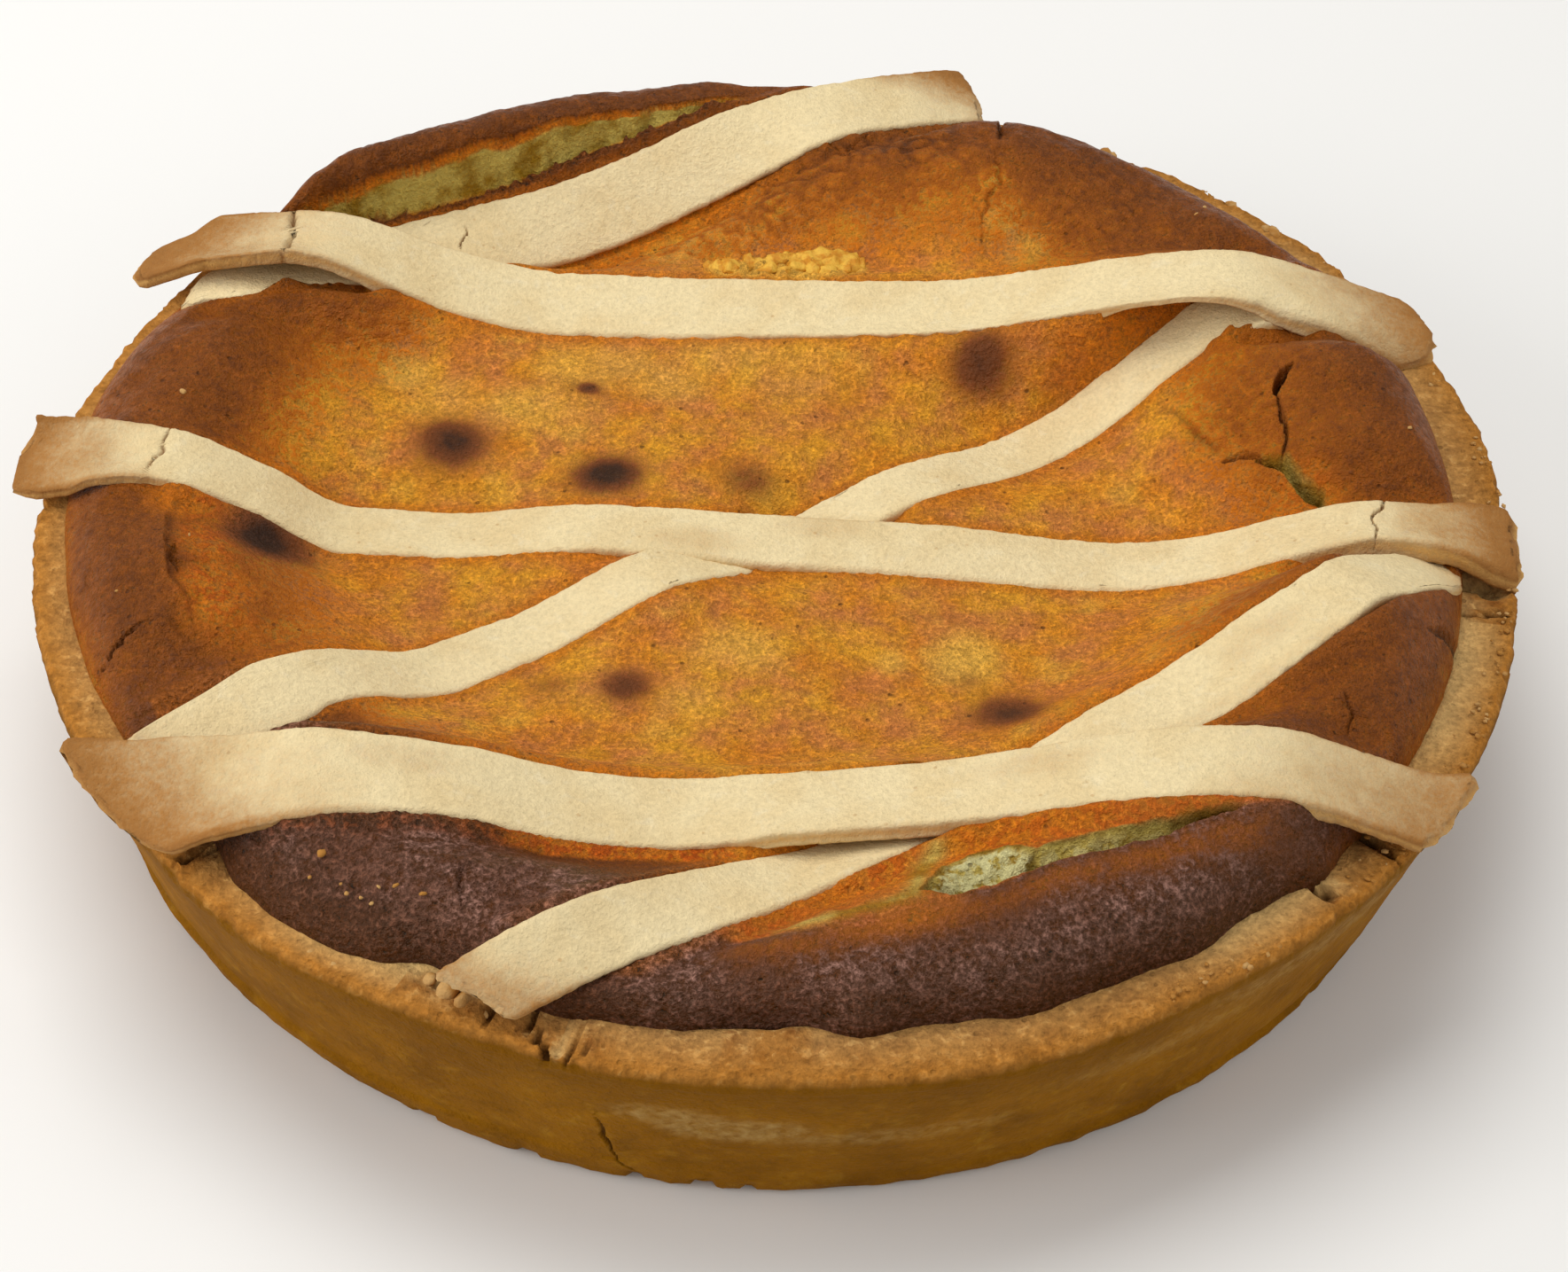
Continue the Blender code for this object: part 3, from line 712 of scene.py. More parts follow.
@dataclass(frozen=True)
class FillingShape:
    """The filling's open surface and how the strips hold it down."""

    shell: ShellShape = ShellShape()
    middle: float = -4.4
    edge: float = -1.2
    stand_middle: float = 0.6
    stand_edge: float = 0.45
    stand_roll: float = 2.0
    hold_reach: float = 6.5
    bare: float = 1.5
    crest: RoundTable = RoundTable((
        (-180, 6), (-166, 9), (-152, 7), (-140, 8), (-130, 10), (-118, 11.5), (-103, 9),
        (-90, 10), (-75, 12), (-60, 12.5), (-48, 12), (-35, 13), (-19, 12), (-11, 8), (-4, 6),
        (7, 12), (18, 15), (32, 12.5), (47, 12), (65, 14), (79, 12), (87, 12.6), (92, 13.4),
        (97, 13.2), (110, 17.5), (126, 19.5), (139, 18.5), (146, 12), (153, 5), (163, 8.5),
        (173, 7)))
    crest_radius: RoundTable = RoundTable(
        ((-160, 107), (75, 107), (95, 111), (142, 111), (152, 109.5), (170, 109)))
    slope_start: RoundTable = RoundTable((
        (-180, 76), (-150, 62), (-120, 62), (-95, 58), (-60, 48), (-30, 50), (0, 58), (30, 50),
        (60, 52), (90, 62), (115, 80), (135, 76), (155, 74)))
    spill: RoundTable = RoundTable((
        (-178, 4.2), (-170, 3), (-160, 2.2), (-148, 1.6), (-137, 0.8), (-131, 4.5),
        (-127, 5.6), (-122, 5.5), (-119, 4.4), (-115, 0.6), (-110, 1.4), (-105, 2.6),
        (-101, 1.3), (-96, 0.8), (-92, -1.1), (-88, -1.4), (-83, 2.3), (-79, 1.1), (-75, 1.3),
        (-71, 2.7), (-66, 1.9), (-62, 2), (-57, 3.2), (-53, 2.1), (-49, 2.5), (-45, 4.5),
        (-41, 2.8), (-34, 1.6), (0, 1.2), (60, 1), (120, 0.8), (146, 2.2), (152, 4.4),
        (160, 5.6), (170, 5.8), (177, 5)))
    sinks: tuple[Spot, ...] = (
        Spot(100.3, -18.1, 5, 5, 2.2), Spot(-89, -66.8, 5.5, 4.5, 2),
        Spot(62, -65.5, 4.4, 4, 2.2), Spot(90.5, 41.5, 4.5, 3, 1.7),
        Spot(-83, 56.4, 4.6, 2, 1.8))
    sag: RoundTable = RoundTable((
        (-180, -7), (-150, -6.5), (-120, -5), (-95, -4.5), (-60, -5.5), (-30, -6), (0, -6),
        (30, -7), (60, -4), (90, -2), (115, -2), (135, -2), (155, -4.5)))

    def edge_at(self, bearing: Values) -> Values:
        """Radius of the filling's edge, where it touches or laps over the rim."""
        return self.shell.edge_radius + self.shell.edge_shift(bearing) + self.spill.at(bearing)

    def open_height(self, radius: Values, bearing: Values) -> Values:
        """Height of the filling where no strip holds it down.

        Args:
            radius, bearing: the places.

        Returns:
            Heights.
        """
        crest, crest_radius = self.crest.at(bearing), self.crest_radius.at(bearing)
        start, sag = self.slope_start.at(bearing), self.sag.at(bearing)
        edge_radius = self.edge_at(bearing)
        inner = self.middle + (sag - self.middle) * eased(radius / start)
        slope = sag + (crest - sag) * eased((radius - start) / (crest_radius - start))
        fall = unit((radius - crest_radius) / (edge_radius - crest_radius))
        outer = self.edge + (crest - self.edge) * np.sqrt(1.0 - fall ** 2)
        return np.where(radius < start, inner, np.where(radius < crest_radius, slope, outer))

    def hold(self, strip: StripShape, x: Values, y: Values) -> tuple[Values, Values]:
        """How a strip holds the filling down.

        Args:
            strip: the strip.
            x, y: the places.

        Returns:
            How firmly it is held at each place, and to what height.
        """
        radius = np.hypot(x, y)
        station, across = strip.along(x, y)
        half = strip.half(station, across)
        beside = np.maximum(0.0, np.abs(across) - half)
        past = np.maximum(0.0, np.maximum(strip.end(-1, 0.0) - station,
                                          station - strip.end(1, 0.0)))
        grip = np.exp(-(beside ** 2 + past ** 2) / self.hold_reach ** 2)
        grip = grip * step(radius, 120.0, 115.5)
        stand = self.stand_middle + (self.stand_roll - self.stand_middle) * step(radius, 70, 100)
        return grip, strip.flat_top(station, across, half) - stand

    def held_height(self, x: Values, y: Values) -> tuple[Values, Values]:
        """Surface of the filling under and between the strips.

        Args:
            x, y: the places.

        Returns:
            Heights, and how firmly the filling is held there.
        """
        radius, bearing = polar(x, y)
        free, held, total = np.ones_like(x), np.zeros_like(x), np.zeros_like(x)
        for strip in UPPER_STRIPS + LOWER_STRIPS:
            grip, height = self.hold(strip, x, y)
            free, held, total = free * (1.0 - grip), held + grip * height, total + grip
        level = (free * self.open_height(radius, bearing) + held) / (free + total)
        for strip in LOWER_STRIPS + UPPER_STRIPS:
            level = self.flush(strip, x, y, level)
        for sink in self.sinks:
            level = level - sink.strength * unit(sink.at(x, y, 0.0 * x, 0.4) / sink.strength)
        return level, 1.0 - free

    def stand(self, x: float, y: float) -> float:
        """Height above the base of the filling at one place."""
        level, _ = self.held_height(np.array([float(x)]), np.array([float(y)]))
        return RIM + float(level[0])

    def flush(self, strip: StripShape, x: Values, y: Values, level: Values) -> Values:
        """Bring the filling up to a strip's upper edge, except where another strip crosses.

        Args:
            strip: the strip.
            x, y: the places.
            level: height of the filling there.

        Returns:
            The new height.
        """
        station, across = strip.along(x, y)
        half = strip.half(station, across)
        beside = np.maximum(0.0, np.abs(across) - half)
        loose = np.where(station > 0, strip.free[1] * step(station, *strip.lifts[1]),
                         strip.free[0] * step(-station, *strip.lifts[0]))
        weight = (1.0 - loose) * bell(beside, 2.6)
        weight = weight * step(np.hypot(x, y), 119.6, 115.5)
        weight = weight * strip.within(station, 2.0, 6.0)
        bared = np.zeros_like(x)
        for other in LOWER_STRIPS if strip in UPPER_STRIPS else UPPER_STRIPS:
            along, off = other.along(x, y)
            clear = np.abs(off) - other.widths.at(along) / 2.0
            clear = np.where((along > other.end(1, 0.0)) | (along < other.end(-1, 0.0)), 9.0,
                             clear)
            weight = weight * np.where((across < 0) & (strip in UPPER_STRIPS),
                                       step(clear, -0.4, 1.8), step(clear, 0.0, 2.8))
            if strip in UPPER_STRIPS:
                bared = np.maximum(bared, (across < 0) * step(clear, 11.0, -2.0))
        target = strip.flat_top(station, across, half) - self.stand_edge - self.bare * bared
        return level + (target - level) * weight


# ---- mesh helpers

def clipped(points: Values) -> Values:
    """Points in metres kept inside the frame's own box."""
    low, high = (np.array(corner) for corner in CAD_BOX)
    return np.clip(points, low + 1e-5, high - 1e-5)


def read_points(mesh: bpy.types.Mesh) -> Values:
    """All points of a mesh.

    Args:
        mesh: the mesh.

    Returns:
        Its points, in its own unit.
    """
    flat = np.empty(len(mesh.vertices) * 3, np.float32)
    mesh.vertices.foreach_get("co", flat)
    return flat.reshape(-1, 3).astype(float)


def write_points(mesh: bpy.types.Mesh, points: Values) -> None:
    """Move all points of a mesh, given in millimetres, and keep them in the box."""
    mesh.vertices.foreach_set("co", clipped(points * MM).astype(np.float32).ravel())
    mesh.update()


def write_masks(mesh: bpy.types.Mesh, masks: Masks) -> None:
    """Store a number from 0 to 1 at every point for each named mask.

    Args:
        mesh: the mesh.
        masks: the masks.
    """
    for name, values in masks.items():
        layer = mesh.attributes.new(name, 'FLOAT', 'POINT')
        layer.data.foreach_set("value", unit(values).astype(np.float32))


def mesh_from(shape: bmesh.types.BMesh, name: str) -> bpy.types.Mesh:
    """Turn the faces of a shape outwards and make it a smooth mesh.

    Args:
        shape: the shape, which is freed.
        name: the mesh's name.

    Returns:
        The mesh.
    """
    bmesh.ops.recalc_face_normals(shape, faces=shape.faces)
    mesh = bpy.data.meshes.new(name)
    shape.to_mesh(mesh)
    shape.free()
    mesh.shade_smooth()
    return mesh


def place(mesh: bpy.types.Mesh, name: str, finish: bpy.types.Material, slot: Slot,
          node: str | None = None) -> bpy.types.Object:
    """Put a finished piece in the scene, on the frame's body.

    Args:
        mesh: its mesh, in metres.
        name: its name.
        finish: its material.
        slot: which finish it takes; not used.
        node: the node of the frame that it stands for, if any.

    Returns:
        The piece.
    """
    mesh.materials.append(finish)
    piece = bpy.data.objects.new(name, mesh)
    bpy.context.scene.collection.objects.link(piece)
    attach(piece, "root")
    if node:
        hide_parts(node)
    mesh.calc_loop_triangles()
    log.info("%s: %d triangles", name, len(mesh.loop_triangles))
    return piece


def turned(profile: Sequence[tuple[float, float]], steps: int) -> bmesh.types.BMesh:
    """A closed solid turned about Z from a profile that starts and ends on the axis.

    Args:
        profile: radii and heights.
        steps: how many steps the turn takes.

    Returns:
        The solid.
    """
    shape = bmesh.new()
    corners = [shape.verts.new((radius, 0.0, height)) for radius, height in profile]
    edges = [shape.edges.new(pair) for pair in zip(corners, corners[1:])]
    bmesh.ops.spin(shape, geom=corners + edges, cent=(0, 0, 0), axis=(0, 0, 1),
                   angle=math.tau, steps=steps, use_merge=True, use_duplicate=False)
    bmesh.ops.remove_doubles(shape, verts=shape.verts, dist=0.001)
    return shape


def spaced(low: float, high: float, gap: float) -> list[float]:
    """Numbers from low to high about one gap apart, without the last."""
    return list(np.linspace(low, high, max(2, round((high - low) / gap) + 1)))[:-1]


# ---- shader helpers

class Link:
    """A socket of a material's nodes, for use in Python expressions."""

    def __init__(self, shader: Shader, socket: bpy.types.NodeSocket) -> None:
        """Wrap an output socket of a shader."""
        self.shader = shader
        self.socket = socket

    def _with(self, operation: str, *values: Link | float) -> Link:
        """A Math node on the given values."""
        return self.shader.node("ShaderNodeMath", {"operation": operation},
                                dict(enumerate(values)))

    def __add__(self, other: Link | float) -> Link:
        """Sum."""
        return self._with("ADD", self, other)

    __radd__ = __add__

    def __sub__(self, other: Link | float) -> Link:
        """Difference."""
        return self._with("SUBTRACT", self, other)

    def __rsub__(self, other: Link | float) -> Link:
        """Difference the other way round."""
        return self._with("SUBTRACT", other, self)

    def __mul__(self, other: Link | float) -> Link:
        """Product."""
        return self._with("MULTIPLY", self, other)

    __rmul__ = __mul__

    def between(self, low: float, high: float) -> Link:
        """Smooth step from low, where it is 0, to high, where it is 1."""
        return self.shader.node("ShaderNodeMapRange", {"interpolation_type": 'SMOOTHSTEP'},
                                {0: self, 1: low, 2: high, 3: 0.0, 4: 1.0})

    def at_least(self, other: Link | float) -> Link:
        """The greater of two values."""
        return self._with("MAXIMUM", self, other)


Colour = tuple[float, float, float, float]
BAKED_SHEEN = {"IOR": 1.45, "Specular Tint": (1.0, 0.86, 0.68, 1.0)}


class Shader:
    """A material that is put together from a few methods."""

    def __init__(self, name: str) -> None:
        """Start an empty material with that name."""
        self.material = bpy.data.materials.new(name)
        self.material.use_nodes = True
        self.tree = self.material.node_tree
        self.surface = self.tree.nodes["Principled BSDF"]
        place_node = self.tree.nodes.new("ShaderNodeTexCoord")
        self.places = Link(self, place_node.outputs["Object"])

    def node(self, kind: str, settings: dict | None = None, values: dict | None = None,
             output: int | str = 0) -> Link:
        """Add any node.

        Args:
            kind: its type.
            settings: its own settings, which are set first.
            values: values or links of its sockets, by name or number.
            output: which output to return.

        Returns:
            That output.
        """
        made = self.tree.nodes.new(kind)
        for name, value in (settings or {}).items():
            setattr(made, name, value)
        for name, value in (values or {}).items():
            self.feed(made.inputs[name], value)
        return Link(self, made.outputs[output])

    def feed(self, socket: bpy.types.NodeSocket, value: Link | float | tuple) -> None:
        """Link a value to a socket, or set it there.

        Args:
            socket: the socket.
            value: the value or link.
        """
        if isinstance(value, Link):
            self.tree.links.new(value.socket, socket)
        else:
            socket.default_value = value

    def mask(self, name: str) -> Link:
        """A mask that the mesh carries."""
        return self.node("ShaderNodeAttribute", {"attribute_name": name}, output="Fac")

    def noise(self, size: float, detail: float = 3.0, rough: float = 0.55,
              warp: float = 0.0, shift: float = 0.0) -> Link:
        """Noise from 0 to 1.

        Args:
            size: about the size of a lump, in millimetres.
            detail: number of finer layers.
            rough: strength of the finer layers.
            warp: how far the lumps are twisted.
            shift: another shift gives another pattern.

        Returns:
            The noise.
        """
        places = self.places
        if shift:
            places = self.node("ShaderNodeVectorMath", {"operation": 'ADD'},
                               {0: places, 1: (shift, shift * 0.7, shift * 1.3)})
        return self.node("ShaderNodeTexNoise", {}, {
            "Vector": places, "Scale": 1.0 / (size * MM), "Detail": detail,
            "Roughness": rough, "Distortion": warp})

    def cells(self, size: float) -> Link:
        """Distance to scattered seeds, about one size apart in millimetres."""
        return self.node("ShaderNodeTexVoronoi", {}, {
            "Vector": self.places, "Scale": 1.0 / (size * MM)}, "Distance")

    def mix(self, factor: Link | float, low: Link | Colour, high: Link | Colour) -> Link:
        """Blend two colours."""
        return self.node("ShaderNodeMix", {"data_type": 'RGBA'}, {0: factor, 6: low, 7: high}, 2)

    def layers(self, colour: Link | Colour, *coats: tuple[Link, Link | Colour]) -> Link:
        """Lay coats over a colour.

        Args:
            colour: the colour.
            coats: factor and colour of each coat, in order.

        Returns:
            The colour on top.
        """
        for factor, coat in coats:
            colour = self.mix(factor, colour, coat)
        return colour

    def shade(self, colour: Link, factor: Link) -> Link:
        """A colour times a number."""
        return self.node("ShaderNodeVectorMath", {"operation": 'SCALE'},
                         {0: colour, "Scale": factor})

    def bump(self, height: Link, distance: float, strength: float = 1.0) -> Link:
        """A normal from a height of 0 to 1 that stands for a distance in millimetres."""
        return self.node("ShaderNodeBump", {}, {
            "Height": height, "Distance": distance * MM, "Strength": strength})

    def finish(self, colour: Link, roughness: Link, normal: Link,
               constants: dict[str, float]) -> bpy.types.Material:
        """Feed the surface shader.

        Args:
            colour: base colour.
            roughness: roughness.
            normal: normal from a bump.
            constants: sockets that are the same all over.

        Returns:
            The finished material.
        """
        for name, value in (("Base Color", colour), ("Roughness", roughness),
                            ("Normal", normal), *constants.items()):
            self.feed(self.surface.inputs[name], value)
        return self.material


@dataclass(frozen=True)
class FillingFinish:
    """Baked ricotta: orange-gold with rosy clouds, dark brown and glossy on the roll, with painted
    sheen on the front roll and painted shade in its cracks, pores and tears.
    """

    gold: Colour = tone(222, 154, 38)
    orange: Colour = tone(211, 128, 26)
    rosy: Colour = tone(198, 118, 62)
    straw: Colour = tone(228, 172, 62)
    yolk: Colour = tone(232, 180, 74)
    amber: Colour = tone(200, 110, 8)
    red: Colour = tone(170, 76, 6)
    roast: Colour = tone(188, 104, 12)
    roll: Colour = tone(142, 74, 10)
    roll_dark: Colour = tone(88, 44, 10)
    # painted sheen: the grey of light glancing off the front of the roll
    sheen_grey: Colour = tone(96, 61, 46)
    # painted highlight: pale patches of sheen on the front of the roll
    painted_highlight: Colour = tone(142, 108, 98)
    scorched: Colour = tone(126, 68, 30)
    burnt: Colour = tone(56, 32, 22)
    moist: Colour = tone(150, 112, 16)
    moist_pale: Colour = tone(200, 176, 86)
    curd: Colour = tone(212, 204, 146)
    # painted shade: the dark of cracks, pores, tears and the roll's foot
    shade_brown: Colour = tone(62, 32, 10)

    def material(self) -> bpy.types.Material:
        """Make the material."""
        shader = Shader("Baked filling")
        cloud = shader.noise(17.0, 4.0, 0.6, 0.2)
        marble = shader.noise(9.0, 4.0, 0.6, 0.1, 0.31)
        wisp = shader.noise(13.0, 4.0, 0.6, 0.15, 0.77)
        grain = shader.noise(0.75, 3.0, 0.7).between(0.28, 0.72)
        speck = shader.noise(2.0, 3.0, 0.6, 0.0, 0.53).between(0.25, 0.75)
        mottle = (speck - 0.5) * 0.5 + (grain - 0.5) * 0.5
        brown = shader.mask("brown") + mottle * shader.mask("brown").between(0.0, 0.3)
        brown = brown + (marble - 0.5) * 0.35
        # painted sheen and painted highlights on the face of the front roll
        painted_sheen = shader.mask("painted_sheen") * (mottle + 0.9).between(0.4, 0.9)
        sheen = shader.mask("painted_sheen") * (mottle + 0.5).between(0.30, 1.0)
        burn = shader.mask("burn") * (1.0 + mottle * 0.6)
        damp = shader.layers(self.moist, (marble.between(0.38, 0.60), self.moist_pale),
                             (shader.mask("pale") * speck.between(0.2, 0.6), self.curd))
        # pores: small pits in the relief, darkened with painted shade
        pores = 1.0 - shader.cells(3.0).between(0.07, 0.17)
        pores = pores * shader.noise(2.4, 1.0, 0.5, 0.0, 0.19).between(0.52, 0.62)
        colour = shader.layers(
            self.gold, (cloud.between(0.36, 0.64), self.orange),
            (marble.between(0.36, 0.70) * 0.8, self.rosy),
            (wisp.between(0.54, 0.74) * 0.5, self.straw),
            (shader.mask("yolk") * (0.6 + 0.4 * marble), self.yolk),
            (brown.between(0.06, 0.40), self.roast), (brown.between(0.34, 0.68), self.roll),
            (brown.between(0.66, 1.05), self.roll_dark), (painted_sheen * 0.85, self.sheen_grey),
            # painted highlights in clouds over the painted sheen
            (sheen * cloud.between(0.36, 0.64) * 0.7, self.painted_highlight),
            (shader.mask("amber") * (0.55 + 0.45 * cloud), self.amber),
            (shader.mask("red") * speck.between(0.35, 0.70), self.red),
            (burn.between(0.03, 0.45), self.scorched), (burn.between(0.35, 0.90), self.burnt),
            (shader.mask("moist"), damp),
            # painted shade in cracks, pores, tears and at the roll's foot
            (shader.mask("dark").at_least(pores * 0.6), self.shade_brown))
        even = 1.0 - 0.6 * shader.mask("moist") + 1.2 * shader.mask("brown")
        colour = shader.shade(colour, 1.0 + even * ((grain - 0.5) * 0.66 + (speck - 0.5) * 0.36))
        gloss = 0.62 - 0.24 * shader.mask("brown") - 0.08 * shader.mask("burn")
        gloss = gloss - 0.20 * shader.mask("shine") - 0.14 * shader.mask("moist")
        height = grain * 0.35 + speck * 0.5 - pores * 0.4
        return shader.finish(colour, gloss + (speck - 0.5) * 0.25, shader.bump(height, 1.1),
                             {"Specular IOR Level": 0.30, **BAKED_SHEEN})


@dataclass(frozen=True)
class StripFinish:
    """Pale sandy shortcrust, toasted at its ends; tan down its sides, partly toasting and partly
    painted shade, with painted shade in its cracks.
    """

    cream: Colour = tone(227, 208, 163)
    butter: Colour = tone(217, 192, 142)
    flour: Colour = tone(232, 219, 184)
    toast: Colour = tone(164, 114, 58)
    toast_dark: Colour = tone(132, 84, 36)
    # tan of the sides: partly toasting, partly painted shade
    side: Colour = tone(206, 160, 92)
    speck: Colour = tone(176, 134, 84)
    # painted shade inside the strip's cracks
    crack: Colour = tone(128, 84, 40)

    def material(self) -> bpy.types.Material:
        """Make the material."""
        shader = Shader("Pale shortcrust")
        cloud = shader.noise(14.0, 3.0, 0.55, 0.4)
        sand = shader.noise(0.9, 3.0, 0.65)
        fine = shader.noise(0.45, 2.0, 0.6, 0.0, 0.4)
        patch = shader.noise(3.2, 3.0, 0.6, 0.6, 0.21)
        tan = shader.mask("toast") + (patch - 0.5) * 0.35 + (sand - 0.5) * 0.5
        dots = 1.0 - shader.cells(3.4).between(0.06, 0.13)
        colour = shader.layers(
            self.cream, (cloud.between(0.35, 0.68) * 0.65, self.butter),
            (patch.between(0.55, 0.75) * 0.4, self.flour), (tan.between(0.04, 0.95), self.toast),
            (tan.between(0.72, 1.25) * 0.8, self.toast_dark),
            # sides: partly toasting, partly painted shade, paler towards the underside
            (shader.mask("side") * (0.8 + 0.8 * (sand - 0.5)), self.side),
            (dots * cloud.between(0.50, 0.6) * 0.45, self.speck),
            # painted shade in the cracks
            (shader.mask("crack"), self.crack))
        colour = shader.shade(colour, 0.66 + 0.50 * sand + 0.20 * fine)
        return shader.finish(colour, 0.78 + (sand - 0.5) * 0.3,
                             shader.bump(sand * 0.7 + fine * 0.3, 0.5),
                             {"Specular IOR Level": 0.2, "IOR": 1.45})


@dataclass(frozen=True)
class CrustFinish:
    """Golden-brown shortcrust: a crumbly tan rim over a dark, leathery wall."""

    rim: Colour = tone(165, 114, 56)
    rim_pale: Colour = tone(202, 160, 98)
    rim_brown: Colour = tone(130, 80, 34)
    edge: Colour = tone(176, 116, 44)
    wall: Colour = tone(149, 97, 4)
    wall_dark: Colour = tone(118, 74, 0)
    wall_pale: Colour = tone(176, 130, 38)
    smudge: Colour = tone(176, 144, 86)
    inside: Colour = tone(208, 174, 114)
    # painted shade for cracks and pits
    shade_brown: Colour = tone(74, 44, 14)

    def material(self) -> bpy.types.Material:
        """Make the material."""
        shader = Shader("Golden shortcrust")
        cloud = shader.noise(16.0, 4.0, 0.6, 0.5)
        patch = shader.noise(4.5, 4.0, 0.62, 0.5, 0.27)
        sand = shader.noise(0.9, 3.0, 0.65)
        flake = shader.noise(2.0, 3.0, 0.6, 0.3, 0.63)
        rim = shader.layers(self.rim, (patch.between(0.40, 0.66), self.rim_brown),
                            (flake.between(0.54, 0.70) * 0.6, self.rim_pale),
                            (shader.mask("edge") * (0.4 + 0.6 * flake), self.edge))
        # holes: small pits of the rim, darkened with painted shade
        holes = (1.0 - shader.cells(2.4).between(0.10, 0.24)) * patch.between(0.42, 0.56)
        holes = holes * shader.mask("rim")
        colour = shader.layers(
            self.wall, (cloud.between(0.24, 0.76), self.wall_dark),
            (patch.between(0.50, 0.78) * 0.36, self.wall_pale),
            (shader.mask("under") * 0.75, self.wall_dark),
            (shader.mask("smudge") * flake.between(0.2, 0.8) * 0.8, self.smudge),
            (shader.mask("rim"), rim), (shader.mask("inside"), self.inside),
            # painted shade in cracks and pits
            (shader.mask("dark").at_least(holes * 0.22), self.shade_brown))
        coarse = 0.35 + 0.65 * shader.mask("rim")
        colour = shader.shade(colour, 1.0 + coarse * ((sand - 0.5) * 1.2 + (flake - 0.5) * 0.8))
        roughness = 0.74 + 0.08 * shader.mask("rim") + (sand - 0.5) * 0.25
        height = sand * 0.6 + flake * 0.6 - holes * 0.3
        return shader.finish(colour, roughness, shader.bump(height, 0.9, 0.9),
                             {"Specular IOR Level": 0.1, **BAKED_SHEEN})


@dataclass(frozen=True)
class LumpFinish:
    """Finish of small lumps, in patches of two colours.

    Args:
        name: its name.
        pale: colour of the pale patches.
        deep: colour of the deeper patches.
        patch: size, detail and the limits between which the patches change.
        grain: size of its grain, how dark the grain's hollows are and how strong it is.
        rough: least roughness.
        bump: height of the grain.
        sockets: what is the same all over.
    """

    name: str
    pale: Colour
    deep: Colour
    patch: tuple[float, float, float, float]
    grain: tuple[float, float, float]
    rough: float
    bump: float
    sockets: dict

    def material(self) -> bpy.types.Material:
        """Make the material."""
        shader = Shader(self.name)
        size, detail, low, high = self.patch
        patch = shader.noise(size, detail, 0.6)
        sand = shader.noise(self.grain[0], 3.0, 0.65)
        colour = shader.mix(patch.between(low, high), self.pale, self.deep)
        colour = shader.shade(colour, self.grain[1] + self.grain[2] * sand)
        return shader.finish(colour, self.rough + 0.2 * sand, shader.bump(sand, self.bump, 0.8),
                             self.sockets)


CRUMB_FINISH = LumpFinish(
    "Loose crumbs", tone(196, 154, 96), tone(176, 122, 56), (5.0, 2.0, 0.4, 0.6),
    (0.5, 0.75, 0.5), 0.65, 0.3, {"Specular IOR Level": 0.2, **BAKED_SHEEN})
CURD_FINISH = LumpFinish(
    "Yellow curds", tone(226, 176, 66), tone(200, 134, 34), (2.6, 3.0, 0.42, 0.62),
    (0.7, 0.80, 0.4), 0.45, 0.4, {"Specular IOR Level": 0.25, "IOR": 1.45})


# ---- the pieces

class Piece:
    """A piece of the pie that can be built."""

    def build(self, finish: bpy.types.Material) -> bpy.types.Object:
        """Build the piece.

        Args:
            finish: its material.

        Returns:
            The piece.
        """
        raise NotImplementedError


class Turned(Piece):
    """A piece that is turned from a profile and cut finer round its marks."""

    steps: int
    margins: tuple[float, ...]

    def profile(self) -> list[tuple[float, float]]:
        """Half section, which starts and ends on the axis."""
        raise NotImplementedError

    def near_marks(self, points: Values, margin: float) -> Values:
        """Tell which places lie within a margin of a mark.

        Args:
            points: the places.
            margin: the margin.

        Returns:
            True where a mark is near.
        """
        raise NotImplementedError

    def fine_mesh(self, name: str) -> bpy.types.Mesh:
        """The turned mesh, with its edges cut in half near marks, once for each margin.

        Args:
            name: its name.

        Returns:
            The mesh.
        """
        shape = turned(self.profile(), self.steps)
        for margin in self.margins:
            edges = list(shape.edges)
            middles = np.array([(edge.verts[0].co + edge.verts[1].co) / 2.0 for edge in edges])
            near = self.near_marks(middles, margin)
            bmesh.ops.subdivide_edges(shape, edges=[edge for edge, cut in zip(edges, near) if cut],
                                      cuts=1, use_grid_fill=True)
        return mesh_from(shape, name)


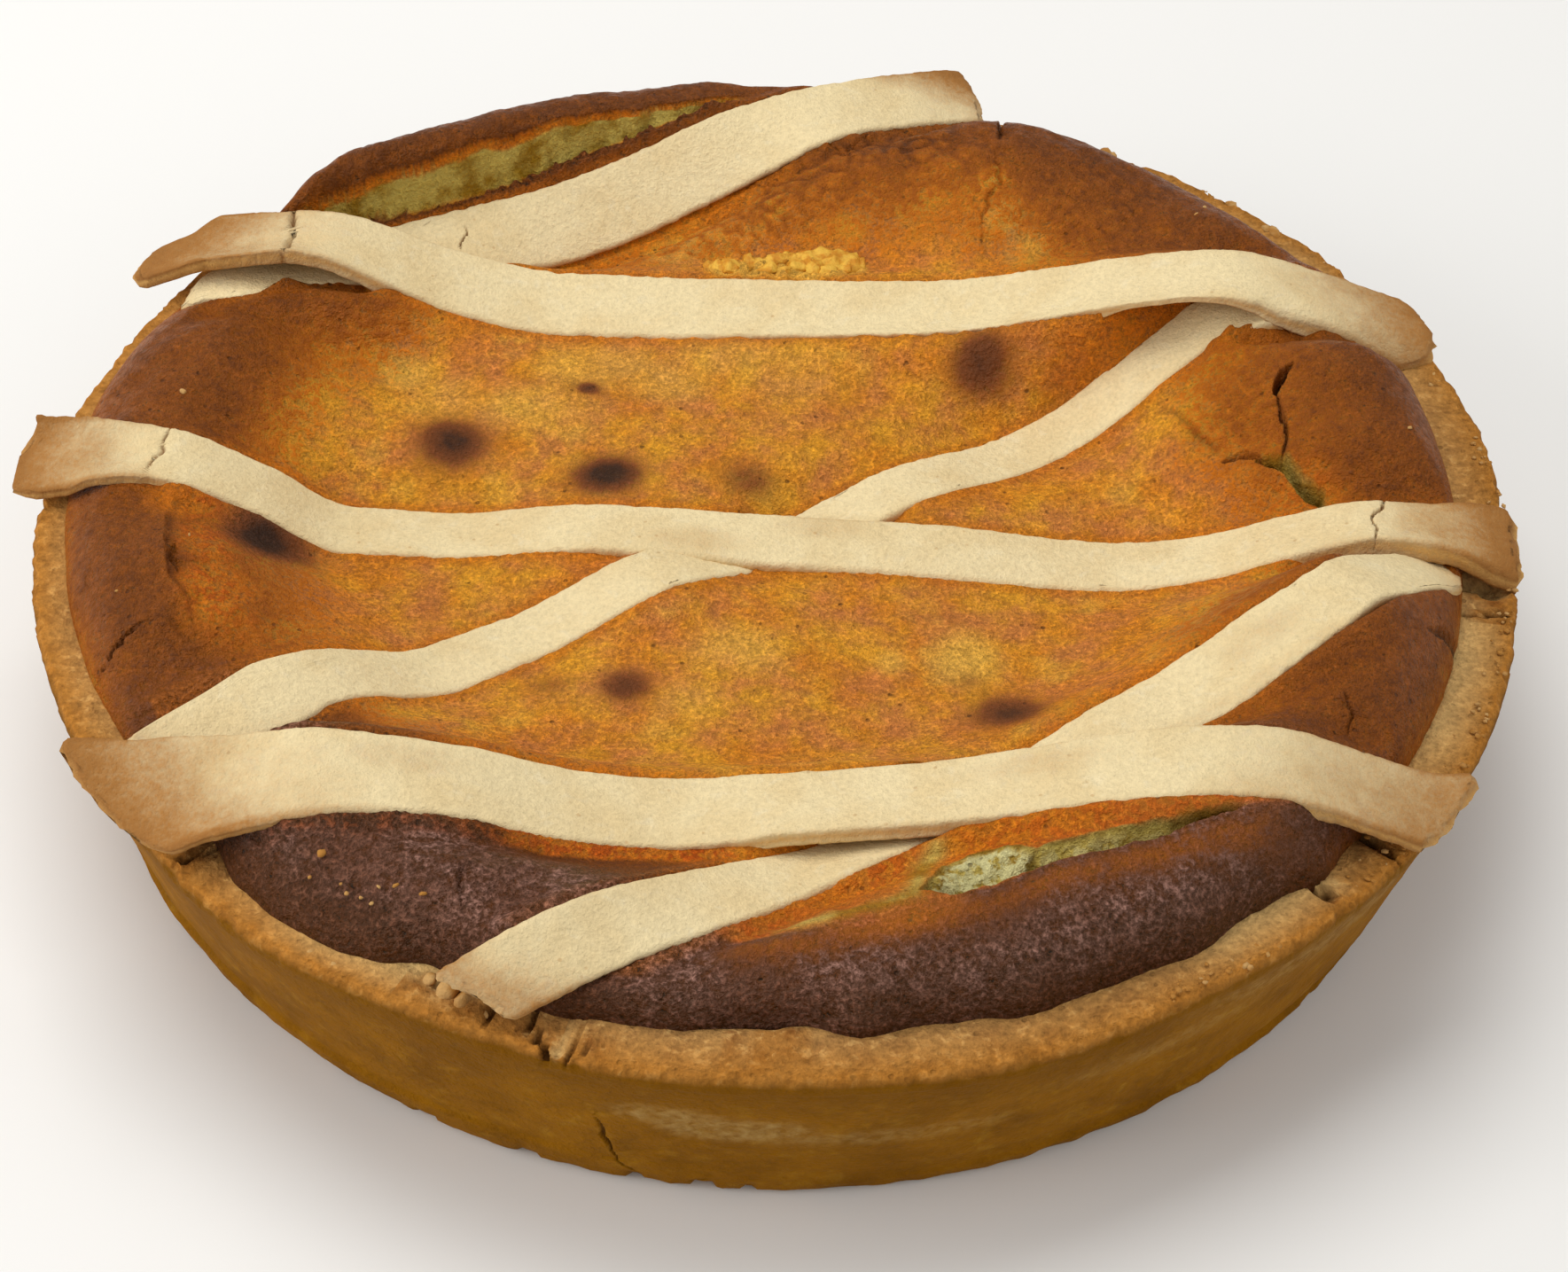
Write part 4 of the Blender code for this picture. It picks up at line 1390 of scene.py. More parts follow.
@dataclass
class Filling(Turned):
    """The ricotta filling, from its sunken middle to its torn, rolled edge."""

    shape: FillingShape = field(default_factory=FillingShape)
    shell: ShellShape = field(default_factory=ShellShape)
    steps: int = 480
    margins: tuple[float, ...] = (2, 0.6)
    grain: Grain = Grain(11)
    lip: Grain = Grain(29)
    gap: float = 0.3
    strip_bed: float = 1.9
    rear_window: tuple[float, float, float, float] = (93.5, 99, 139.5, 146)
    rear_lip: RoundTable = RoundTable((
        (-180, 8), (94, 11.6), (98, 12.4), (103, 13), (111, 13.6), (115, 14.8), (120, 12.8),
        (124, 14.2), (130, 13), (134, 12.6), (138, 10.6), (142, 9), (146, 8)))
    rear_crest: RoundTable = RoundTable((
        (-180, 12), (89, 13.8), (97, 12.5), (105, 13.8), (113, 15.1), (121, 15.7), (127, 16.7),
        (134, 17), (139, 15.3), (143, 12.6), (148, 9.6)))
    gashes: tuple[Gash, ...] = (
        Gash(Path(((22.5, -101), (27.6, -102.4), (33.8, -101.2), (40, -97.9), (44, -95))),
             Path(((22.5, -101), (24.3, -97), (27.3, -91.8), (32, -89.3), (37, -89.8),
                   (41, -92), (44, -95))), 5, (0.08, 0.75), 0.45, 1),
        Gash(Path(((37, -99.2), (42.8, -96.2), (56, -91.7), (69.5, -86.4), (76, -84.2))),
             Path(((37, -99.2), (39.6, -92.8), (43.1, -90.6), (49, -88.9), (56, -87.7),
                   (63, -86.3), (70, -84.6), (76, -84.2))), 3.6, (0.1, 0.7), 0.4, 0.55),
        Gash(Path(((84.6, 10), (88, 7.2), (90.5, 4.6), (92.5, 1), (96.5, -1.6))),
             Path(((84.6, 10), (87, 10.6), (90, 9.4), (93, 5.6), (96.5, 2.6),
                   (96.5, -1.6))), 3.8, (0.25, 0.3), 0.5),
    )
    cracks: tuple[Crack, ...] = (
        Crack(Path(((91.8, 27.6), (90.4, 26), (89.2, 24), (88.6, 22.2))), 1.15, 5,
              Depth.STEEP, 0.5),
        Crack(Path(((88.6, 22.4), (89.4, 19.5), (89.9, 15), (89.3, 9))), 0.38, 2.2,
              Depth.STEEP, 0.5),
        Crack(Path(((79.4, 12.6), (82.3, 12.6), (85.6, 10.6))), 0.7, 3.2, Depth.STEEP, 0.3),
        Crack(Path(((-100.4, -40.8), (-104.6, -42.3), (-108.2, -45.5), (-111.6, -49.5))), 0.7,
              1.8, Depth.SOFT, 0.6),
        Crack(Path(((-101.6, -23.5), (-102, -27.5), (-100, -30.5))), 0.7, 1.2,
              Depth.SOFT, 0.5),
        Crack(Path(((43, 108), (42, 101), (41.5, 95))), 0.7, 1.5, Depth.SOFT, 0.7),
        Crack(Path(((41, 92), (41, 84), (38, 77), (38, 70))), 0.5, 0.5, Depth.SOFT, 0.8),
        Crack(Path(((7, 102), (11, 96), (17, 104), (20, 108))), 0.4, 0.5, Depth.SOFT, 0.8),
        Crack(Path(((92, -57), (93, -60.5), (92.5, -64))), 0.4, 0.9, Depth.SOFT, 0.6),
        Crack(Path(((108, -40), (112.5, -37), (117, -31))), 0.9, 2.2, Depth.STEEP, 0.5),
        Crack(Path(((-46.5, -97), (-46.9, -101), (-45.8, -105))), 0.4, 0.8, Depth.SOFT, 0.5),
    )
    ledges: tuple[Ledge, ...] = (
        Ledge(Path(((69.5, 31.5), (73.4, 23.7), (76.6, 18), (80, 13.2))), 1.2),
        Ledge(Path(((88.9, 6.5), (89.3, 9.2), (89.9, 16), (88.6, 22))), -1.1, 5, 0.6),
        Ledge(Path(((-97, -44.5), (-97.4, -37.1), (-100.9, -32), (-103.3, -25.1),
                    (-104.4, -12.2), (-104, -6))), 1.3, 5, 0.45),
        Ledge(Path(((-96, -46), (-100.6, -41.2), (-104.6, -42.4), (-110.5, -47.5))), 1.1,
              6, 0.3),
    )
    front_crest: Path = Path(((-16, -105.5), (-4, -107.6), (6, -107.6), (15, -106.4),
                              (22, -104.6), (28, -102.8), (34, -101.2), (43, -96.2),
                              (56, -91.6), (69.5, -86.2), (80, -83.5)))
    band_edge: tuple[float, float] = (1.8, 3)
    streak: Path = Path(((26, -87.5), (23.6, -91.5), (22.4, -97), (21.6, -101.6),
                         (15, -104.2), (6, -106), (-1, -107.4)))
    burns: tuple[Spot, ...] = (
        Spot(36.9, 41.2, 8, 0.64, 1.5), Spot(-30.4, 12.1, 8.6, 1.1, 1.2),
        Spot(-59.2, 20.6, 11.4, 0.86, 1.1), Spot(-89.5, -11, 13, 1.1, 0.9),
        Spot(39.2, -48.4, 11, 0.7, 1.1), Spot(-25, -41.7, 7.6, 0.6, 1.2),
        Spot(-5, 13.3, 8, 0.36, 1.5), Spot(-35.4, 35.2, 3.2, 0.7, 1.4),
        Spot(33, -38, 6, 0.25), Spot(-38, -41, 8, 0.28, 1.4), Spot(54, 36, 9, 0.24, 1.6))
    blisters: tuple[Spot, ...] = (Spot(-29.6, 10.4, 3.6, 1, 1.3), Spot(37.2, 41, 3, 0.4),
                                  Spot(-59, 20, 3, 0.5))
    yolks: tuple[Spot, ...] = (
        Spot(-70, 39, 4.4, 0.8), Spot(-7, -32, 5.5, 0.6, 1.3), Spot(20, -34, 3.2, 0.75),
        Spot(31, -32, 6, 1), Spot(-62, 32, 6, 0.5, 1.6), Spot(-35, 42, 6, 0.6, 1.8),
        Spot(-20, 38, 5, 0.6, 1.6), Spot(-48, 30, 6, 0.5, 2), Spot(-12, 44, 5, 0.5, 2),
        Spot(-14, -45, 4.5, 0.4, 1.4), Spot(2, 40, 6, 0.35, 2))
    curds: tuple[Spot, ...] = (
        Spot(-11.5, 68.2, 2.6, 1, 1.2), Spot(-5.5, 70, 3, 1, 1.1),
        Spot(1.5, 70.6, 3.4, 1, 1.3), Spot(9, 70.6, 3.6, 1, 1.2), Spot(13.2, 68.6, 2.6, 0.9),
        Spot(2, 67, 2.6, 0.9, 4.6))
    columns: tuple[Spot, ...] = (
        Spot(39.5, 84, 4.6, 0.8, 0.7), Spot(41.5, 76, 5, 0.9, 0.8), Spot(46, 68, 4.6, 0.8, 0.9))
    plates: tuple[Spot, ...] = (
        Spot(10, 98, 12, 0.9, 1.6), Spot(30, 92, 10, 0.6), Spot(-30, 86, 16, 0.5, 1.5),
        Spot(60, 76, 12, 0.5), Spot(-12, 80, 9, 0.6, 1.6), Spot(80, 24, 8, 0.4),
        Spot(-100, 4, 8, 0.5), Spot(-80, 52, 12, 0.4))
    lumpy: tuple[Spot, ...] = (
        Spot(-97, -20, 7.5, 0.9, 0.7), Spot(-94, -33, 7, 1, 0.9), Spot(-101, -8, 6, 0.8),
        Spot(-91, -40, 6, 0.4), Spot(12, -98, 10, 1, 1.5), Spot(30, -86, 5, 0.6, 2),
        Spot(92, 2, 6, 0.5))

    def profile(self) -> list[tuple[float, float]]:
        """Half section of the filling, from its top to its underside.

        Returns:
            Radii and heights.
        """
        radii = [0.0, *spaced(1.2, 60.0, 2.4), *spaced(60.0, 84.0, 1.5),
                 *spaced(84.0, self.shell.edge_radius, 0.62), self.shell.edge_radius]
        floor_radius = (self.shell.base_radius - self.shell.wall
                        + self.shell.floor * self.shell.flare)
        top = [(radius, self.shell.height) for radius in radii]
        return [*top, (119.2, 38.5), (self.shell.edge_radius - 0.9, 35.0),
                (floor_radius - self.gap, self.shell.floor + 3.0 + self.gap),
                (floor_radius - 3.0 - self.gap, self.shell.floor + self.gap),
                (0.0, self.shell.floor + self.gap)]

    def near_marks(self, points: Values, margin: float) -> Values:
        """Tell which places on top lie within a margin of a crack or tear."""
        x, y = points[:, 0], points[:, 1]
        near = np.zeros(len(points), bool)
        for crack in self.cracks:
            near |= np.abs(crack.path.nearest(x, y)[0]) < crack.half_width + margin
        for gash in self.gashes:
            from_near, from_far = gash.near.nearest(x, y)[0], gash.far.nearest(x, y)[0]
            near |= (from_near > -margin) & (from_far < margin)
            near |= np.minimum(np.abs(from_near), np.abs(from_far)) < margin
        for ledge in self.ledges:
            near |= np.abs(ledge.path.nearest(x, y)[0]) < margin
        radius, bearing = polar(x, y)
        station, across = REAR_DIAGONAL.along(x, y)
        near |= (bearing > 92) & (bearing < 149) & (radius < 118.5) & (across > 7.6)
        near |= ((station > -82) & (station < -40)
                 & (np.abs(across + REAR_DIAGONAL.near.at(station)) < margin + 1.0))
        return near & (points[:, 2] > 40.0)

    def rear_tear(self, x: Values, y: Values, level: Values, masks: Masks) -> Values:
        """Tear open the roll behind the rear diagonal strip.

        The torn inside rises from a crumbly fringe along the strip to a ragged lip; the dark
        roll stands above the lip.

        Args:
            x, y: the places.
            level: height of the filling so far.
            masks: masks, which are changed.

        Returns:
            The new height.
        """
        radius, bearing = polar(x, y)
        station, across = REAR_DIAGONAL.along(x, y)
        places = spots(x, y)
        half = REAR_DIAGONAL.widths.at(station) / 2.0
        far = across - half
        ragged = np.maximum(self.lip.rough(places, 2.4, 3), 0.0)
        bulge = bell(station - 6.0, 7.0)
        fringe_width = 0.5 + 1.1 * ragged + 1.3 * bulge
        line_radius = (REAR_DIAGONAL.offset + half) / np.cos(
            np.radians(bearing - REAR_DIAGONAL.bearing - 90.0))
        lip_radius = np.maximum(107.2, line_radius + 2.6) + 0.75 * self.lip.rough(
            places + 9.0, 4.0, 4)
        crest_radius = np.minimum(lip_radius + 3.6, 116.6)
        opens, open_full, shut_from, shut = self.rear_window
        window = step(bearing, opens, open_full) * step(bearing, shut, shut_from)
        low = REAR_DIAGONAL.top(station, np.full_like(station, 8.0)) - 0.3
        lip_height, crest = self.rear_lip.at(bearing), self.rear_crest.at(bearing)
        inside = lip_radius - radius
        part = unit((far - fringe_width) / np.maximum(far - fringe_width + inside, 0.2))
        torn = low + 0.2 + (lip_height - low) * part ** 0.9 - 1.6 * np.sin(np.pi * part)
        torn = torn - 1.3 * step(part, 0.80, 0.98)
        tall = spots(x, y, torn)
        curdled = 0.9 * self.lip.rough(tall, 4.2, 3) + 0.4 * self.lip.lumps(tall, 1.5)
        torn = torn + curdled * np.sin(np.pi * part) ** 0.6
        crumbly = low + 0.9 + 1.2 * self.lip.rough(places, 1.6, 2) + 0.4 * bulge
        rise = unit(-inside / np.maximum(crest_radius - lip_radius, 0.5))
        face = lip_height + (crest - lip_height) * np.sqrt(1.0 - (1.0 - rise) ** 2)
        edge_radius = self.shape.edge_at(bearing)
        fall = unit((radius - crest_radius) / (edge_radius - crest_radius))
        over = self.shape.edge + (crest - self.shape.edge) * np.sqrt(1.0 - fall ** 2)
        roll = np.where(radius < crest_radius, face, over)
        roll = roll + 0.16 * self.lip.rough(places, 2.0, 2)
        in_fringe = step(far, -0.6, 0.1) * (far < fringe_width) * (inside > 0)
        in_tear = (far >= fringe_width) * (inside > 0)
        new = np.where(inside <= 0, roll, np.where(in_tear > 0, torn, crumbly))
        reach = window * np.maximum(np.maximum(in_fringe, in_tear), inside <= 0)
        reach = reach * step(far, -1.6, 0.0)
        wet = window * in_tear * step(part, 0.03, 0.14) * step(part, 0.96, 0.84)
        crust = window * np.maximum(in_fringe, (inside <= 0) * 1.0)
        masks["brown"] = np.maximum(masks["brown"] * (1.0 - window * in_tear), crust * 0.82)
        masks.more("brown", window * in_fringe)
        drip = 1.9 + 1.3 * self.lip.rough(tall * np.array([1.0, 1.0, 0.3]), 3.0, 3)
        below = lip_height - 1.3 - torn
        masks["amber"] = np.maximum(masks["amber"] * (1.0 - wet), window * in_tear
                                    * step(below, drip + 0.6, drip - 0.6))
        masks.less("dark", reach)
        # painted shade deep in the tear beside the strip; on the fringe partly its brown crust,
        # partly painted shade
        masks.more("dark", 0.5 * window * in_tear * step(part, 0.10, 0.0))
        masks.more("dark", 0.35 * window * in_fringe)
        masks.more("red", 0.5 * window * in_fringe * step(ragged, 0.3, 0.7))
        masks.more("burn", 0.30 * window * in_fringe)
        masks.more("moist", wet)
        return level + (new - level) * reach

    def front_tear(self, x: Values, y: Values, masks: Masks, wander: Values) -> None:
        """Colour the broken crust between the front strip and the crest of the roll.

        Args:
            x, y: the places.
            masks: masks, which are changed.
            wander: noise that frays the colours, from -1 to 1.
        """
        bearing = np.degrees(np.arctan2(y, x))
        behind = self.front_crest.nearest(x, y)[0]
        window = step(bearing, -97.0, -91.0) * step(bearing, -44.0, -50.0)
        window = window * (FRONT.along(x, y)[1] < -4.0)
        broken = window * step(behind + 0.8 * wander, -0.2, 1.6)
        masks.more("amber", broken)
        masks.more("red", broken * (0.6 + 0.4 * wander))
        masks.less("brown", 0.95 * broken)
        top = window * bell(behind + 3.0, 3.2) * (behind < 1.0)
        # less painted sheen just in front of the crest
        masks.less("painted_sheen", 0.8 * top)
        masks.less("brown", 0.35 * top)
        station, across = FRONT.along(x, y)
        beside = -across - FRONT.widths.at(station) / 2.0
        band = (beside > -1.0) * (1.0 - step(beside + 0.9 * wander, *self.band_edge))
        band = band * step(station, -84.0, -74.0) * step(station, -4.0, -12.0)
        bright = step(station + 5.0 * wander, -50.0, -36.0)
        masks.more("amber", band * bright)
        masks["red"] = np.maximum(masks["red"] * (1.0 - band), band * (0.35 + 0.65 * bright))
        # painted shadow along the front strip's near edge, left of the bright band
        masks.more("dark", 0.5 * band * (1.0 - bright))
        masks.less("brown", 0.8 * band * bright)
        side, part = self.streak.nearest(x, y)
        wet = bell(side + 0.5 * wander, 1.5) * step(1.0 - part, 0.0, 0.2)
        masks.more("moist", 0.85 * wet * window)
        masks.more("yolk", bell(side, 2.4) * window * (1.0 - part))

    def browning(self, x: Values, y: Values, level: Values, opened: Values) -> Masks:
        """How brown the filling is baked, before its tears and spots, with painted shade along the
        foot of the front roll and painted sheen on its face.

        Args:
            x, y: the places.
            level: height of the surface.
            opened: height where no strip holds it down.

        Returns:
            All the masks that the finish reads.
        """
        radius, bearing = polar(x, y)
        places = spots(x, y)
        cloud = self.grain.rough(places, 16.0, 3)
        front = 1.0 - step(np.abs((bearing + 95.0 + 180.0) % 360.0 - 180.0), 46.0, 62.0)
        spread = step(radius + 7.0 * cloud, 58.0, 112.0) * (0.42 + 0.58 * step(level, -4.0, 7.0))
        brown = 0.74 * spread + 0.10 * step(opened + cloud, 8.0, 19.0) * step(radius, 90, 108)
        brown = np.maximum(brown, front * step(radius, 82.0, 92.0) * 0.80)
        brown = brown + front * 0.22 * step(radius, 90.0, 101.0)
        masks = Masks({name: np.zeros_like(x) for name in
                       ("moist", "dark", "amber", "red", "yolk", "burn", "shine", "pale")})
        masks["brown"] = unit(brown)
        # painted shade along the foot of the front roll, by the rim
        masks["dark"] = 0.45 * front * step(radius, 115.0, 121.0)
        # painted sheen on the face of the front roll
        masks["painted_sheen"] = front * step(radius, 97.0, 105.0) * (1.0 - 0.7 * step(radius, 118, 123))
        return masks

    def relief(self, x: Values, y: Values) -> tuple[Values, Masks]:
        """Height of the fine surface at each place, and its masks.

        Args:
            x, y: the places.

        Returns:
            Heights from the plane of the rim, and the masks.
        """
        radius, bearing = polar(x, y)
        places = spots(x, y)
        level, grip = self.shape.held_height(x, y)
        masks = self.browning(x, y, level, self.shape.open_height(radius, bearing))
        wander = self.grain.rough(places, 9.0, 3)
        high = step(level, -1.0, 9.0) * step(radius, 74.0, 104.0)
        level = level + (1.0 - 0.9 * grip) * (0.45 * self.grain.rough(places, 24.0, 2)
                                              + (0.12 + 0.38 * high) * wander)
        level = level + (0.07 + 0.22 * high) * self.grain.rough(places, 2.4, 3)
        beside = bell(1.0 - grip, 0.06)
        masks["amber"] = beside * (1.0 - 0.8 * high) * 0.7
        level = self.rear_tear(x, y, level, masks)
        self.front_tear(x, y, masks, wander)
        for spot in self.lumpy:
            there = spot.at(x, y, wander, 0.5)
            level = level + there * (0.75 * self.lip.rough(places, 3.0, 3) - 0.1)
            masks.more("amber", 0.75 * there)
            masks.more("red", there * step(wander, -0.1, 0.5) * 0.8)
            masks.less("brown", 0.55 * there)
        for ledge in self.ledges:
            rise, foot = ledge.carve(x, y, self.grain)
            level = level + rise
            # painted shadow at the foot of each ledge
            masks.more("dark", foot)
        for spot in self.plates:
            first, second = self.grain.cells(places, 4.2)
            there = spot.at(x, y, wander, 0.45)
            seam = 1.0 - step(second - first, 0.02, 0.24)
            level = level - there * (0.5 * seam - 0.25 * self.lip.lumps(places, 2.4))
            masks["brown"] = unit(masks["brown"] + 0.25 * there * seam)
        for gash in self.gashes:
            depth, inside = gash.carve(x, y, self.lip)
            wet = step(inside, 0.0, 0.7)
            lumps = 0.9 * self.lip.rough(places, 3.8, 3) + 0.3 * self.lip.lumps(places, 1.4)
            level = level - depth + wet * lumps
            masks.more("moist", wet)
            masks.more("pale", wet * gash.pale * step(inside, 0.6, 2.0))
            for name in ("brown", "dark", "amber", "red"):
                masks.less(name, wet)
            # painted shade just inside the edges of each tear
            masks.more("dark", 0.5 * wet * step(inside, 1.2, 0.3))
        for crack in self.cracks:
            depth, away = crack.carve(x, y, self.lip)
            level = level - depth
            # painted shade inside each crack, darker for deeper cracks
            masks.more("dark", step(-away, -0.15, 0.35) * min(1.0, crack.depth / 2.6))
        for spot in self.burns:
            away = np.hypot((x - spot.x) / spot.stretch, y - spot.y) / spot.size + 0.1 * wander
            there = 0.42 * bell(away, 0.72) + 0.58 * bell(away, 0.40)
            masks.more("burn", spot.strength * there)
        for spot in self.blisters:
            there = spot.at(x, y, wander, 0.5)
            level = level + 0.5 * there
            masks.more("shine", there)
        for spot in self.yolks:
            masks.more("yolk", spot.at(x, y, wander, 0.6))
        level = self.curdle(x, y, level, masks, wander)
        masks.less("burn", masks["moist"])
        return self.under_strips(x, y, level), masks

    def curdle(self, x: Values, y: Values, level: Values, masks: Masks, wander: Values) -> Values:
        """Raise the yellow curds along the back strip and the lumpy column beside them.

        Args:
            x, y: the places.
            level: height of the filling so far.
            masks: masks, which are changed.
            wander: noise that frays their edges.

        Returns:
            The new height.
        """
        places = spots(x, y)
        first, second = self.lip.cells(places, 2.8)
        bead = step(second - first, 0.0, 0.5)
        for spot in self.curds:
            there = spot.at(x, y, wander, 0.25)
            level = level + there * (1.2 * bead + 0.5 * self.lip.lumps(places, 1.6) - 0.2)
            masks.more("yolk", there * 1.2)
            masks.less("brown", 0.95 * there)
            masks.less("amber", 0.9 * there)
        for spot in self.columns:
            there = spot.at(x, y, wander, 0.4)
            level = level + there * (1.1 * bead + 0.5 * self.lip.rough(places, 2.2, 2))
            masks.more("yolk", 0.45 * there)
            masks.less("brown", 0.45 * there)
        return level

    def under_strips(self, x: Values, y: Values, level: Values) -> Values:
        """Press the filling down below the tops of the strips that lie on it.

        Args:
            x, y: the places.
            level: height of the filling so far.

        Returns:
            The new height.
        """
        below = np.zeros_like(x)
        for strip in UPPER_STRIPS:
            station, across = strip.along(x, y)
            beyond = across - strip.half(station, across)
            below = np.maximum(below, (beyond > -4.0) * step(beyond, 5.0, 2.0))
        for strip in UPPER_STRIPS + LOWER_STRIPS:
            station, across = strip.along(x, y)
            half = strip.half(station, across)
            wider = 2.4 * below if strip in LOWER_STRIPS else 0.0
            over = step(half + wider - np.abs(across), 0.4, 1.7)
            over = over * strip.within(station, -1.0, 0.5)
            roof = strip.flat_top(station, across, half) - self.strip_bed
            level = np.where(over > 0, np.minimum(level, level + (roof - level) * over), level)
        return level

    def build(self, finish: bpy.types.Material) -> bpy.types.Object:
        """Build the filling."""
        mesh = self.fine_mesh("filling_fine")
        points = read_points(mesh)
        radius, bearing = polar(points[:, 0], points[:, 1])
        on_top = points[:, 2] > self.shell.height - 0.01
        near_edge = np.where(on_top, step(radius, 90.0, self.shell.edge_radius), 0.0)
        shift = self.shape.edge_at(bearing) - self.shell.edge_radius
        under = self.shell.edge_shift(bearing) * eased(radius / self.shell.edge_radius)
        moved = radius + np.where(on_top, shift * near_edge, under)
        points[:, :2] *= (moved / np.maximum(radius, 1e-6))[:, None]
        level, masks = self.relief(points[:, 0], points[:, 1])
        points[:, 2] = np.where(on_top, self.shell.height + level, points[:, 2])
        write_points(mesh, points)
        write_masks(mesh, masks)
        return place(mesh, "filling_baked", finish, Slot.FILLING, "filling")


@dataclass
class Crust(Turned):
    """The shortcrust shell: a leathery flared wall and a crumbly, cracked rim."""

    shell: ShellShape = field(default_factory=ShellShape)
    filling: FillingShape = field(default_factory=FillingShape)
    steps: int = 800
    margins: tuple[float, ...] = (1.6, 0.5)
    grain: Grain = Grain(47)
    flakes: Grain = Grain(53)
    rim_cracks: tuple[Crack, ...] = (
        Crack(Path(((-50.3, -111), (-43.2, -116), (-36.5, -120.2))), 0.7, 1.6),
        Crack(Path(((-35.6, -118.6), (-34.2, -121.5), (-32.6, -127.6))), 0.6, 2.2),
        Crack(Path(((-31.4, -127.4), (-28.4, -124.6), (-24.3, -122.4))), 0.45, 1.2),
        Crack(Path(((112, 43.5), (116.7, 44.5), (121, 46.8))), 0.8, 2.2),
        Crack(Path(((116.3, -24.2), (121, -24), (126, -23))), 0.7, 1.8),
        Crack(Path(((90, -73.5), (94.8, -77.5), (100.5, -82.5))), 0.9, 2.8),
        Crack(Path(((-93.5, -89), (-90, -86.8), (-86, -84.8))), 0.8, 1.6),
        Crack(Path(((86.3, -88.2), (87.5, -90))), 1.3, 2.6),
    )
    hollows: tuple[Crack, ...] = (
        Crack(Path(((117.6, -15.4), (122, -16), (126.5, -17))), 4.2, 3.4, Depth.SOFT, 0.6),
        Crack(Path(((-31.6, -123.4), (-29.6, -125.2))), 1.7, 1.4, Depth.SOFT, 0.4),
        Crack(Path(((-52, -110.5), (-45.5, -114.8))), 1.9, 1.2, Depth.SOFT, 0.4),
    )
    wall_cracks: tuple[Crack, ...] = (
        Crack(Path(((-101.7, 26), (-101.8, 18), (-101.2, 8.5), (-99.3, 3.6))), 0.42, 0.9),
        Crack(Path(((-96, 3), (-94, 5))), 0.4, 0.5),
    )
    smudges: tuple[Spot, ...] = (
        Spot(-96.6, 28.5, 3, 0.9, 1.3), Spot(-92, 25, 3.4, 0.9, 1.6),
        Spot(-82, 22, 2.6, 0.5, 3.2), Spot(-48, 36, 4, 0.5, 2.6),
        Spot(-60, 30, 3, 0.35, 3))
    creams: tuple[tuple[float, float], ...] = ((-51, 6), (-120, 6), (30, 8), (-20, 9))
    notches: Triples = (
        (-117.7, 2.2, 1.1), (-108.7, 2, 0.8), (-100, 1.4, 0.9), (-94.6, 2.2, 1.2),
        (-91, 1.2, 0.8), (-40, 2, 0.7), (-140, 1.6, 0.6), (20, 2, 0.9),
        (75, 2.4, 1), (121, 1.8, 0.9), (163, 2.2, 1))

    def profile(self) -> list[tuple[float, float]]:
        """Half section of the shell: up the outside, over the rim, down the inside.

        Returns:
            Radii and heights.
        """
        shell = self.shell
        inner = shell.rim_radius - shell.rim_width
        floor_radius = shell.base_radius - shell.wall + shell.floor * shell.flare
        wall = [(shell.base_radius + shell.flare * height, height)
                for height in spaced(1.6, shell.height - 3.6, 1.1)]
        bends = ((shell.rim_radius - 0.6, shell.height - 3.4),
                 (shell.rim_radius - 0.3, shell.height - 2.2),
                 (shell.rim_radius - 0.2, shell.height - 1.2),
                 (shell.rim_radius - 0.7, shell.height - 0.5))
        rim = []
        for radius in spaced(shell.rim_radius - 1.2, inner + 1.6, 0.36):
            part = (shell.rim_radius - 1.2 - radius) / (shell.rim_width - 2.8)
            rim.append((radius, shell.height + shell.crown * math.sin(math.pi * part ** 0.7)
                        - 0.4 * part))
        inside = ((inner + 1.6, shell.height - 0.4), (inner + 0.9, shell.height - 0.8),
                  (inner + 0.3, shell.height - 1.4), (inner, shell.height - 2.0),
                  (inner - 0.3, shell.height - 3.4), (inner - 0.7, shell.height - 5.2),
                  (inner - 1.2, shell.height - 8.0), (floor_radius, shell.floor + 3.0),
                  (floor_radius - 3.0, shell.floor), (0.0, shell.floor))
        return [(0.0, 0.0), (60.0, 0.0), (100.0, 0.0), (113.0, 0.0),
                (shell.base_radius - shell.base_round, 0.0),
                (shell.base_radius - 0.6, 0.3), (shell.base_radius - 0.1, 0.9), *wall, *bends,
                *rim, *inside]

    def unrolled(self) -> list[Crack]:
        """Lay the cracks of the wall out flat.

        Returns:
            Cracks by distance round the wall, about in millimetres, and height.
        """
        return [replace(crack, path=Path(tuple((angle * WALL_SCALE, height)
                                               for angle, height in crack.path.points)))
                for crack in self.wall_cracks]

    def near_marks(self, points: Values, margin: float) -> Values:
        """Tell which places lie within a margin of a crack."""
        x, y, z = points[:, 0], points[:, 1], points[:, 2]
        radius, bearing = polar(x, y)
        near = np.zeros(len(points), bool)
        for crack in self.rim_cracks + self.hollows:
            away = np.abs(crack.path.nearest(x, y)[0])
            near |= (away < crack.half_width + margin) & (z > 38.0)
        for crack in self.unrolled():
            away = np.abs(crack.path.nearest(bearing * WALL_SCALE, z)[0])
            near |= (away < margin + 0.6) & (radius > 116.0)
        return near

    def build(self, finish: bpy.types.Material) -> bpy.types.Object:
        """Build the shell."""
        mesh = self.fine_mesh("crust_fine")
        points, masks = self.relief(read_points(mesh))
        write_points(mesh, points)
        write_masks(mesh, masks)
        return place(mesh, "crust_baked", finish, Slot.CRUST, "crust")

